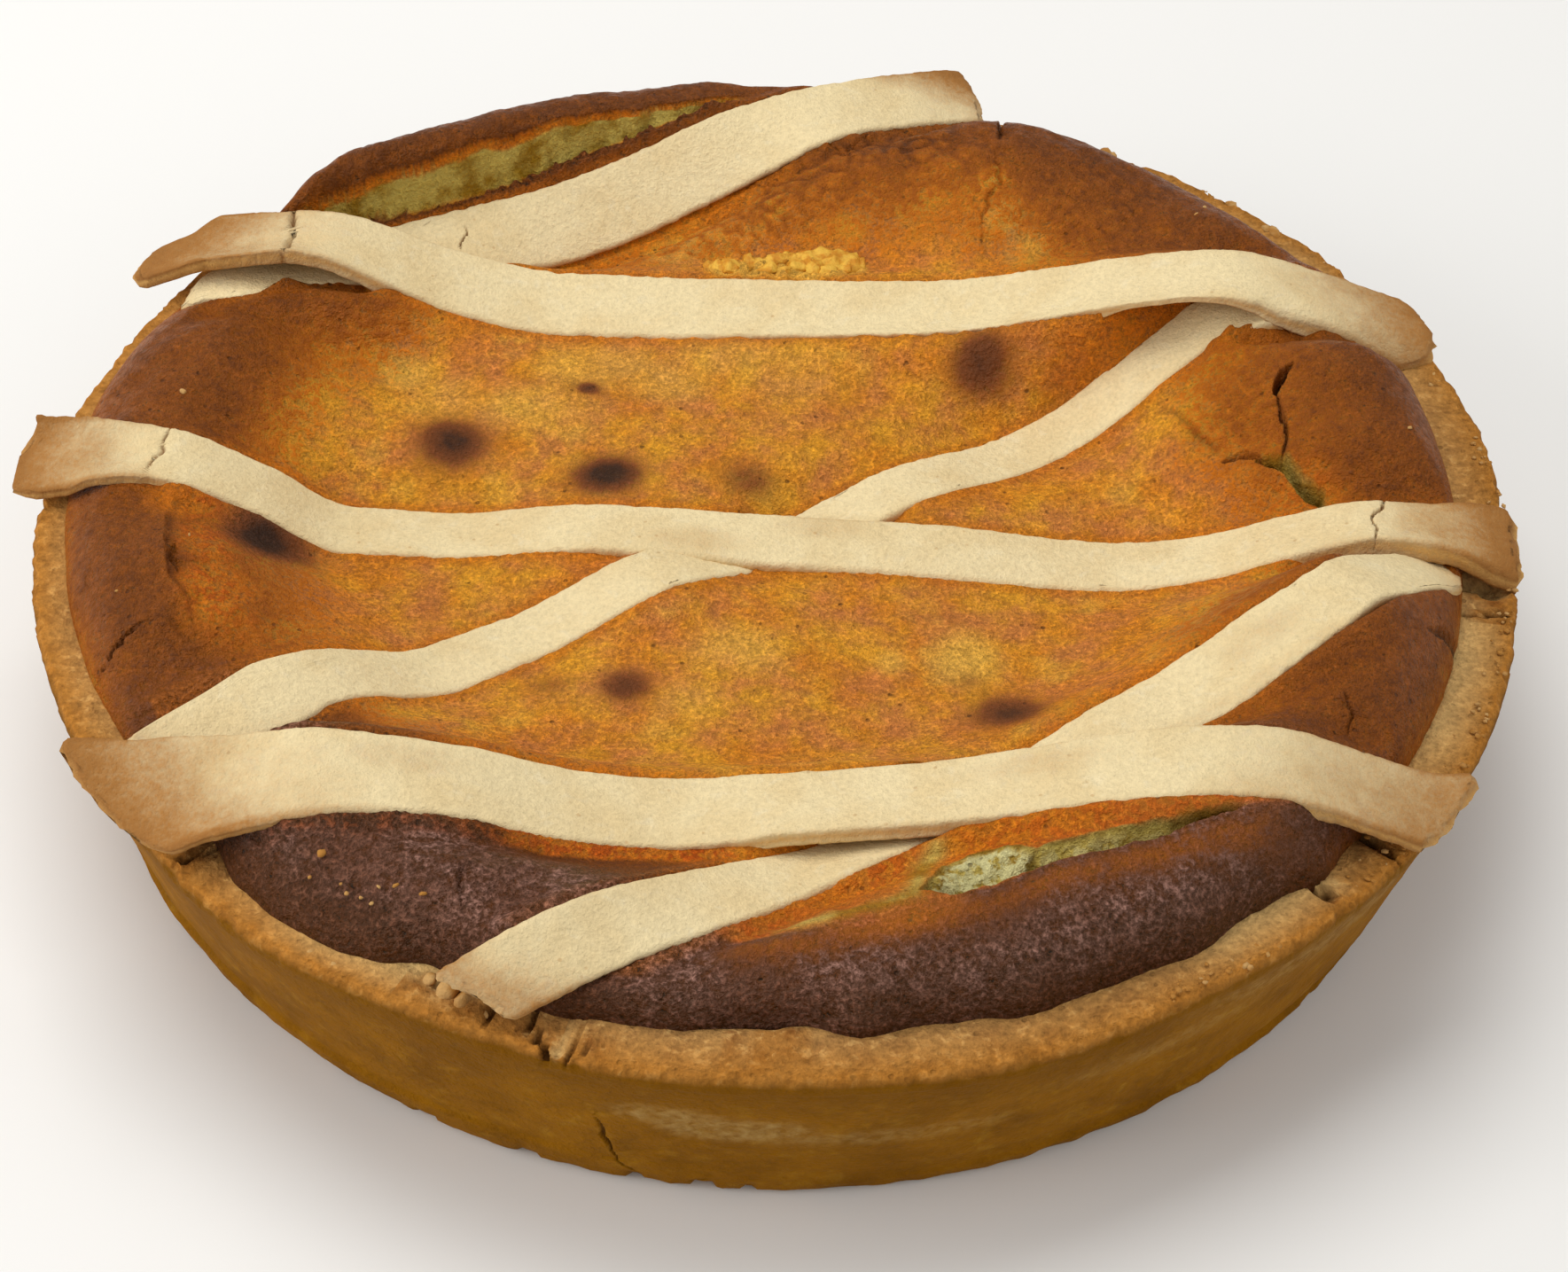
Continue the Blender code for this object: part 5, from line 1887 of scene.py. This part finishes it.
    def relief(self, points: Values) -> tuple[Values, Masks]:
        """Press, fray and crack the turned shell.

        Args:
            points: points of the turned shell.

        Returns:
            Their new places, and the masks.
        """
        shell = self.shell
        x, y, z = points[:, 0], points[:, 1], points[:, 2]
        radius, bearing = polar(x, y)
        arc = np.radians(bearing) * shell.rim_radius
        outside = step(radius - (shell.base_radius + shell.flare * z), -2.2, -0.9)
        outside = outside * (radius > shell.base_radius - 2.0)
        inner = shell.rim_radius - shell.rim_width
        on_rim = step(z, shell.height - 1.9, shell.height - 0.7) * step(radius, inner - 1, inner)
        high = eased(z / shell.height)
        outer = step(radius, inner, inner + shell.rim_width / 2.0)
        wave = shell.waves(shell.radius_waves, bearing) + shell.bulges.at(bearing)
        moved = radius + high * outer * wave
        drifts = (z > shell.floor - 0.1) & (radius < inner + 2.0)
        moved = moved + np.where(drifts, shell.edge_shift(bearing)
                                 * eased(radius / shell.edge_radius), 0.0)
        height = z + np.where(z > shell.height - 4.0, shell.waves(shell.height_waves, bearing), 0)
        lumps = self.grain.rough(points, 11.0, 3)
        small = self.flakes.rough(points, 2.6, 3)
        fray = self.flakes.rough(points * np.array([1.0, 1.0, 0.4]), 3.6, 4)
        on_wall = outside * step(z, 0.5, 3.0)
        moved = moved + on_wall * (0.30 * lumps + 0.12 * small - 0.35)
        lip = outside * step(z, shell.height - 4.5, shell.height - 1.0)
        moved = moved - lip * (0.3 + 1.1 * np.abs(fray))
        inner_lip = on_rim * step(radius, inner + 2.4, inner + 0.2)
        moved = moved - inner_lip * (0.3 + 1.2 * self.grain.rough(points, 7.0, 3))
        pits = 1.0 - step(self.flakes.cells(points, 2.9)[0], 0.12, 0.42)
        crumbly = 0.55 + 0.45 * step(np.cos(np.radians(bearing + 5.0)), 0.1, 0.8)
        sandy = self.flakes.rough(points, 1.3, 2)
        height = height + on_rim * (0.30 * lumps + (0.40 * small + 0.16 * sandy) * crumbly
                                    - 0.5 * pits * crumbly * step(lumps, -0.1, 0.6))
        for angle, width, size in self.notches:
            away = (bearing - angle) * math.radians(shell.base_radius)
            low = outside * step(z, 4.5, 1.5)
            moved = moved - size * step(np.abs(away) / width, 1.0, 0.6) * low
        ragged = self.flakes.rough(spots(arc, 0.0), 9.0, 3)
        moved = moved - outside * step(z, 4.0, 0.5) * (0.3 + 0.7 * np.abs(ragged))
        zero = np.zeros_like(x)
        from_filling = radius - self.filling.edge_at(bearing) + 0.7 * small
        creamy = sum(bell(bearing - middle, wide) for middle, wide in self.creams)
        band = on_rim * step(from_filling, 2.2, 0.6) * np.clip(0.3 + creamy, 0.0, 0.95)
        masks = Masks({
            "rim": on_rim, "dark": zero.copy(), "inside": band, "smudge": zero.copy(),
            "edge": on_rim * step(radius, shell.rim_radius - 4.2, shell.rim_radius - 1.2),
            "under": outside * step(z, shell.height - 15.0, shell.height - 4.0)})
        above = step(z, shell.height - 2.6, shell.height - 1.0)
        for crack in self.hollows:
            depth, away = crack.carve(x, y, self.grain)
            height = height - depth * above
            masks.more("inside", above * 0.9 * unit(depth / crack.depth))
        for crack in self.rim_cracks:
            depth, away = crack.carve(x, y, self.grain)
            height = height - depth * above
            moved = moved - 0.45 * depth * lip
            # painted shade inside each rim crack
            masks.more("dark", above * unit(depth / 1.8))
        for crack in self.unrolled():
            depth, _ = crack.carve(bearing * WALL_SCALE, z, self.grain)
            moved = moved - depth * outside
            # painted shade inside each wall crack
            masks.more("dark", unit(depth) * outside * 0.8)
        for spot in self.smudges:
            there = spot.at(bearing, z, lumps, 0.5) * outside
            masks.more("smudge", there)
        height = np.where(z < 0.05, z, np.maximum(height, 0.02))
        shifted = points.copy()
        shifted[:, :2] *= (moved / np.maximum(radius, 1e-6))[:, None]
        shifted[:, 2] = height
        return shifted, masks


@dataclass
class Strip(Piece):
    """One strip of shortcrust, draped over the filling and pressed onto the rim."""

    shape: StripShape
    seed: int
    thickness: float = 4.5
    edge_round: float = 0.9
    station_gap: float = 0.62
    across_points: int = 26
    pinch: tuple[float, float] = (116, 121)

    def around(self) -> Values:
        """Places round the section.

        Returns:
            Across in parts of the half width, inset and depth of each.
        """
        top = [(part, self.edge_round, 0.0)
               for part in np.linspace(-1.0, 1.0, self.across_points)[1:-1]]
        right = [(1.0, self.edge_round * (1.0 - math.sin(angle)),
                  self.edge_round * (1.0 - math.cos(angle)))
                 for angle in np.linspace(0.0, math.pi / 2.0, 6)]
        right += [(1.0, 0.0, depth)
                  for depth in np.linspace(self.edge_round, self.thickness, 7)[1:]]
        under = [(part, 0.0, self.thickness) for part in np.linspace(1.0, -1.0, 8)[1:-1]]
        left = [(-part, inset, depth) for part, inset, depth in reversed(right)]
        return np.array([*top, *right, *under, *left])

    def build(self, finish: bpy.types.Material) -> bpy.types.Object:
        """Build the strip."""
        shape, grain = self.shape, Grain(self.seed)
        ring = self.around()
        reach = float(shape.end(1, 0.0) - shape.end(-1, 0.0))
        rows = round(reach / self.station_gap)
        grid = bmesh.new()
        bmesh.ops.create_grid(grid, x_segments=rows, y_segments=len(ring), size=0.5)
        for crack in shape.cracks:
            stations = [point[0] for point in crack.path.points]
            middle = (shape.end(1, 0.0) + shape.end(-1, 0.0)) / 2.0
            low = (min(stations) - 2.0 - middle) / reach
            high = (max(stations) + 2.0 - middle) / reach
            for _ in range(2):
                edges = [edge for edge in grid.edges
                         if all(low < vert.co.x < high for vert in edge.verts)
                         and abs(edge.verts[0].co.y - edge.verts[1].co.y) < 1e-5]
                bmesh.ops.subdivide_edges(grid, edges=edges, cuts=1, use_grid_fill=True)
        mesh = bpy.data.meshes.new(shape.node)
        grid.to_mesh(mesh)
        grid.free()
        flat = read_points(mesh)
        points, masks = self.drape(flat[:, 0] + 0.5, flat[:, 1] + 0.5, ring, grain)
        write_points(mesh, points)
        write_masks(mesh, masks)
        closed = bmesh.new()
        closed.from_mesh(mesh)
        bmesh.ops.remove_doubles(closed, verts=closed.verts, dist=2e-6)
        bmesh.ops.dissolve_degenerate(closed, dist=1e-7, edges=closed.edges)
        bmesh.ops.recalc_face_normals(closed, faces=closed.faces)
        closed.to_mesh(mesh)
        closed.free()
        mesh.shade_smooth()
        return place(mesh, shape.node + "_baked", finish, Slot.STRIPS, shape.node)

    def drape(self, along: Values, round_part: Values, ring: Values, grain: Grain
              ) -> tuple[Values, Masks]:
        """Wrap a flat grid into the draped strip.

        Args:
            along: part of the strip's length, 0 to 1, for each point.
            round_part: part of the way round its section, 0 to 1.
            ring: places round the section.
            grain: its noise.

        Returns:
            Points in millimetres, and the masks.
        """
        shape = self.shape
        place_in_ring = round_part * len(ring)
        first = np.floor(place_in_ring + 1e-6).astype(int) % len(ring)
        second, between = (first + 1) % len(ring), place_in_ring - np.floor(place_in_ring + 1e-6)
        spot = ring[first] * (1.0 - between[:, None]) + ring[second] * between[:, None]
        reach = float(shape.end(1, 0.0) - shape.end(-1, 0.0))
        close = 2.4 / reach
        from_end = np.minimum(along, 1.0 - along) / close
        closing = unit(from_end)
        shrink = np.sqrt(1.0 - (1.0 - closing) ** 2)
        part = unit((along - close) / (1.0 - 2.0 * close))
        past = np.where(along < 0.5, -1.0, 1.0) * (1.0 - closing)
        middle = shape.end(-1, 0.0) + (shape.end(1, 0.0) - shape.end(-1, 0.0)) * along
        half = shape.half(middle, spot[:, 0])
        ragged = 0.42 * np.abs(grain.rough(spots(middle, spot[:, 0] * half), 5.0, 4)) + 0.12
        thick = shape.thickness.at(middle)
        across = spot[:, 0] * (half - spot[:, 1] - np.where(np.abs(spot[:, 0]) > 0.999, ragged, 0))
        across = across * (0.80 + 0.20 * shrink)
        depth = (0.5 + (spot[:, 2] / self.thickness - 0.5) * shrink) * thick
        inset_end = 2.2 + 1.3 * np.abs(grain.rough(spots(across, past * 9.0, depth * 0.4), 3.2, 4))
        wide = across / half
        low_end = shape.end(-1, across) + inset_end + LineTable(shape.trims[0]).at(wide)
        high_end = shape.end(1, across) - inset_end - LineTable(shape.trims[1]).at(wide)
        station = low_end * (1.0 - part) + high_end * part
        station = station + past * 1.5 * (1.0 - closing)
        lean = shape.lean(station)
        crown = shape.top(station, across * np.cos(lean))
        bottom = crown - thick * np.cos(lean)
        reach_out = np.hypot(*shape.plan(station, across))
        pressed = step(reach_out, *self.pinch) * (1.0 - np.where(along < 0.5, *shape.free))
        bottom = bottom + np.minimum(0.0, -bottom) * pressed
        height = crown + (bottom - crown) * depth / thick
        sideways = across * np.cos(lean) + depth * np.sin(lean)
        points = spots(*shape.plan(station, sideways), RIM + height)
        on_top = 1.0 - step(depth, 0.3, 1.8)
        bumps = 0.13 * grain.rough(points, 2.4, 3) + 0.10 * grain.rough(points, 9.0, 2)
        crumbs = 1.0 - step(grain.cells(points, 2.1)[0], 0.1, 0.4)
        points[:, 2] += on_top * (bumps - 0.10 + 0.10 * crumbs)
        corner = step(np.abs(across), 1.0, 4.0) * step(depth, 0.2, 0.9)
        nudge = corner * 0.16 * grain.rough(points, 1.5, 2)
        points[:, 0] += nudge
        points[:, 1] += nudge
        cracked = np.zeros_like(station)
        for crack in shape.cracks:
            dig, _ = crack.carve(station, across, grain)
            points[:, 2] -= dig * step(depth, 3.4, 2.4)
            # crack mask: painted shade inside the cracks
            cracked = np.maximum(cracked, unit(dig / min(crack.depth, 1.0)))
        toasted = self.toasting(station, across, grain)
        # side mask: tan high on each side, paler below; partly toasting, partly painted shade
        sides = step(depth, 0.5, 1.6) * (1.0 - 0.75 * step(depth / thick, 0.5, 0.85))
        return points, Masks({"toast": toasted, "side": sides * 0.9, "crack": cracked * 0.9})

    def toasting(self, station: Values, across: Values, grain: Grain) -> Values:
        """How brown the strip is baked.

        Args:
            station, across: the places.
            grain: its noise.

        Returns:
            Numbers from 0 to 1.
        """
        shape = self.shape
        toasted = np.zeros_like(station)
        for side, (length, strength) in zip((-1, 1), shape.toast):
            from_end = side * (shape.end(side, across) - station)
            reach = length * (1.0 + 0.25 * grain.rough(spots(station, across), 8.0, 2))
            faded = unit(1.0 - from_end / reach) ** 1.25
            toasted = np.maximum(toasted, strength * faded)
        for middle, off, size in shape.clouds:
            away = np.hypot((station - middle) / size, (across - off) / 6.0)
            toasted = np.maximum(toasted, 0.28 * step(away, 1.0, 0.2))
        half = shape.widths.at(station) / 2.0
        rim = step(np.abs(across), half - 1.6, half - 0.2) * 0.22
        return unit(toasted + rim)


@dataclass
class Curds(Piece):
    """Lumps of curd on the filling behind the back strip."""

    seed: int = 37
    filling: FillingShape = field(default_factory=FillingShape)
    lumps: Grain = Grain(61)
    beads: Triples = (
        (-14, 70.4, 0.9), (-12.2, 69.6, 1.2), (-10.2, 68.8, 1.4), (-8.4, 69.6, 1),
        (-6.2, 71.2, 1.7), (-4.2, 69.6, 1.5), (-3, 67.4, 1.6), (-1, 70.8, 1.9),
        (1.4, 72, 1.6), (2.2, 69.2, 2), (4.8, 71.4, 1.9), (5.6, 68.6, 1.5),
        (7.6, 72.4, 2.1), (9, 69.8, 2.2), (11.2, 71.8, 1.9), (12.8, 69.8, 1.7),
        (11.4, 67.8, 1.4), (8.2, 67.2, 1.3), (14.4, 70.8, 1.1), (0, 67, 1.2))

    def build(self, finish: bpy.types.Material) -> bpy.types.Object:
        """Build the curds as one piece."""
        chance, shape = np.random.default_rng(self.seed), bmesh.new()
        for x, y, size in self.beads:
            made = bmesh.ops.create_icosphere(shape, subdivisions=3, radius=1.25 * size)
            squash = Matrix.Diagonal((*chance.uniform(0.8, 1.5, 2), 0.7, 1.0))
            spot = Vector((x, y, self.filling.stand(x, y) + 0.1))
            bmesh.ops.transform(shape, verts=made["verts"],
                                matrix=Matrix.Translation(spot) @ squash)
        mesh = mesh_from(shape, "curds")
        points = read_points(mesh)
        pushed = np.stack([self.lumps.rough(points + shift, 1.7, 3)
                           for shift in (0.0, 31.0, 67.0)], axis=-1)
        write_points(mesh, points + 0.9 * pushed)
        return place(mesh, "curds", finish, Slot.FILLING)


@dataclass
class Crumbs(Piece):
    """Loose crumbs and crumbly lumps on the filling and round the rim."""

    seed: int = 71
    filling: FillingShape = field(default_factory=FillingShape)
    on_filling: Triples = (
        (-107, 19, 0.7), (78, 73, 0.8), (-68.7, -94.5, 0.7), (-56.5, -101.4, 0.5),
        (-59.2, -101.2, 0.45), (-52.2, -102.8, 0.65), (-65.1, -99.8, 0.4), (-64.1, -101.4, 0.4),
        (-61.8, -102.4, 0.4), (-60.1, -103.4, 0.35), (-70.2, -97.7, 0.35), (111.2, 11.9, 0.5),
        (80, 76, 0.5), (-100, -20, 0.4), (-110, -34, 0.4))
    on_rim: Triples = (
        (-50.9, -112, 1.8), (-48.2, -113.6, 2.1), (-45.6, -115.4, 1.7), (-47.2, -112.2, 1.4),
        (-69.6, -107, 1),
        (-67.5, -108.1, 0.8), (-66, -109, 0.9), (-64, -110.2, 0.7), (-45.2, -116, 0.8),
        (-42, -118.2, 0.7), (-39, -119.6, 0.6), (121, 41, 0.9), (119.6, 45.6, 0.8),
        (64, 110, 1.5), (65.6, 109.6, 1.1), (95.5, 84, 1.6), (94, 85.4, 1.1), (88, 93.5, 1),
        (-122.5, -10, 0.9))
    scattered: int = 260

    def lump(self, shape: bmesh.types.BMesh, x: float, y: float, z: float, size: float,
             chance: np.random.Generator) -> None:
        """Add one crumb, an uneven little lump.

        Args:
            shape: the mesh that it joins.
            x, y, z: its place.
            size: its radius.
            chance: random numbers.
        """
        made = bmesh.ops.create_icosphere(shape, subdivisions=1 if size < 0.7 else 2, radius=size)
        squash = Matrix.Diagonal((*chance.uniform(0.6, 1.4, 2), chance.uniform(0.4, 0.7), 1.0))
        turn = Matrix.Rotation(chance.uniform(0.0, math.tau), 4, 'Z')
        sides = [Vector(chance.normal(size=3)).normalized() for _ in range(5)]
        for vert in made["verts"]:
            flat = max(side.dot(vert.co.normalized()) for side in sides)
            vert.co *= 1.25 - 0.55 * flat ** 2 + chance.uniform(-0.12, 0.12)
        bmesh.ops.transform(shape, verts=made["verts"],
                            matrix=Matrix.Translation((x, y, z)) @ turn @ squash)

    def build(self, finish: bpy.types.Material) -> bpy.types.Object:
        """Build all the crumbs as one piece."""
        chance, shape = np.random.default_rng(self.seed), bmesh.new()
        for x, y, size in self.on_filling:
            self.lump(shape, x, y, self.filling.stand(x, y) + 0.35 * size, size, chance)
        for x, y, size in self.on_rim:
            self.lump(shape, x, y, RIM + 0.2 * size, size, chance)
        for _ in range(self.scattered):
            bearing = math.radians(chance.uniform(-62.0, 52.0))
            radius = 128.6 - abs(chance.normal(0.0, 1.9))
            size = chance.uniform(0.25, 0.62)
            self.lump(shape, radius * math.cos(bearing), radius * math.sin(bearing),
                      RIM + chance.uniform(-0.4, 0.3), size, chance)
        mesh = mesh_from(shape, "crumbs")
        write_points(mesh, read_points(mesh))
        return place(mesh, "crumbs", finish, Slot.CRUST)


# ---- camera, light and floor

@dataclass
class Studio:
    """Camera at the photograph's angle, soft light and a plain pale floor."""

    width: int = 1769
    focal: float = 3679.0
    elevation: float = 43.0
    roll: float = -1.2
    target: tuple[float, float, float] = (1.5, -33.7, 43)
    distance: float = 550.0
    warm: tuple[float, float, float] = (1, 0.98, 0.95)
    lamps: tuple[tuple[str, tuple[float, float, float], float, float], ...] = (
        ("key", (-0.2, 0.34, 1.25), 0.9, 9.3), ("fill", (0.5, -1.1, 0.9), 1.2, 1.9),
        ("left", (-1.1, -0.3, 0.5), 0.8, 7.5), ("right", (1.1, -0.4, 0.5), 0.8, 2))

    def camera(self) -> None:
        """Place the camera."""
        angle, roll = math.radians(self.elevation), math.radians(self.roll)
        ahead = Vector((0.0, math.cos(angle), -math.sin(angle)))
        level, rise = Vector((1.0, 0.0, 0.0)), Vector((0.0, math.sin(angle), math.cos(angle)))
        right = level * math.cos(roll) - rise * math.sin(roll)
        up = level * math.sin(roll) + rise * math.cos(roll)
        data = bpy.data.cameras.new("camera")
        data.sensor_fit, data.sensor_width = 'HORIZONTAL', 36.0
        data.lens = self.focal / self.width * data.sensor_width
        data.clip_start, data.clip_end = 0.01, 20.0
        camera = bpy.data.objects.new("camera", data)
        turn = Matrix((right, up, -ahead)).transposed().to_4x4()
        spot = (Vector(self.target) - ahead * self.distance) * MM
        camera.matrix_world = Matrix.Translation(spot) @ turn
        bpy.context.scene.collection.objects.link(camera)
        bpy.context.scene.camera = camera

    def light(self, name: str, place_at: tuple[float, float, float], size: float,
              power: float) -> None:
        """Add a square soft light that faces the pie.

        Args:
            name: its name.
            place_at: its place, in metres.
            size: its width, in metres.
            power: its power, in watts.
        """
        data = bpy.data.lights.new(name, 'AREA')
        data.shape, data.size, data.energy, data.color = 'SQUARE', size, power, self.warm
        light = bpy.data.objects.new(name, data)
        spot = Vector(place_at)
        turn = (Vector((0.0, 0.0, 0.03)) - spot).to_track_quat('-Z', 'Y')
        light.matrix_world = Matrix.Translation(spot) @ turn.to_matrix().to_4x4()
        bpy.context.scene.collection.objects.link(light)

    def build(self) -> None:
        """Place the camera, the lights, the sky and the floor."""
        self.camera()
        for lamp in self.lamps:
            self.light(*lamp)
        world = bpy.data.worlds.new("sky")
        world.use_nodes = True
        sky = world.node_tree.nodes["Background"]
        sky.inputs["Color"].default_value = (1.0, 0.99, 0.97, 1.0)
        sky.inputs["Strength"].default_value = 0.42
        bpy.context.scene.world = world
        bpy.context.scene.view_settings.view_transform = 'Standard'
        ground = bmesh.new()
        bmesh.ops.create_grid(ground, x_segments=1, y_segments=1, size=3.0)
        mesh = bpy.data.meshes.new("floor")
        ground.to_mesh(mesh)
        ground.free()
        paint = bpy.data.materials.new("floor")
        paint.use_nodes = True
        surface = paint.node_tree.nodes["Principled BSDF"]
        surface.inputs["Base Color"].default_value = (0.86, 0.86, 0.85, 1.0)
        surface.inputs["Roughness"].default_value = 0.9
        mesh.materials.append(paint)
        floor = bpy.data.objects.new("floor", mesh)
        bpy.context.scene.collection.objects.link(floor)


def main() -> None:
    """Build the pie and its setting, in order."""
    logging.basicConfig(level=logging.INFO, format="%(name)s: %(message)s")
    Studio().build()
    crust = Crust().build(CrustFinish().material())
    filling = Filling().build(FillingFinish().material())
    pale = StripFinish().material()
    strips = [Strip(shape, 101 + number).build(pale)
              for number, shape in enumerate(LOWER_STRIPS + UPPER_STRIPS)]
    curds = Curds().build(CURD_FINISH.material())
    crumbs = Crumbs().build(CRUMB_FINISH.material())
    pieces = (crust, filling, *strips, curds, crumbs)
    log.info("pieces: %s", ", ".join(piece.name for piece in pieces))


if __name__ == "__main__":
    main()
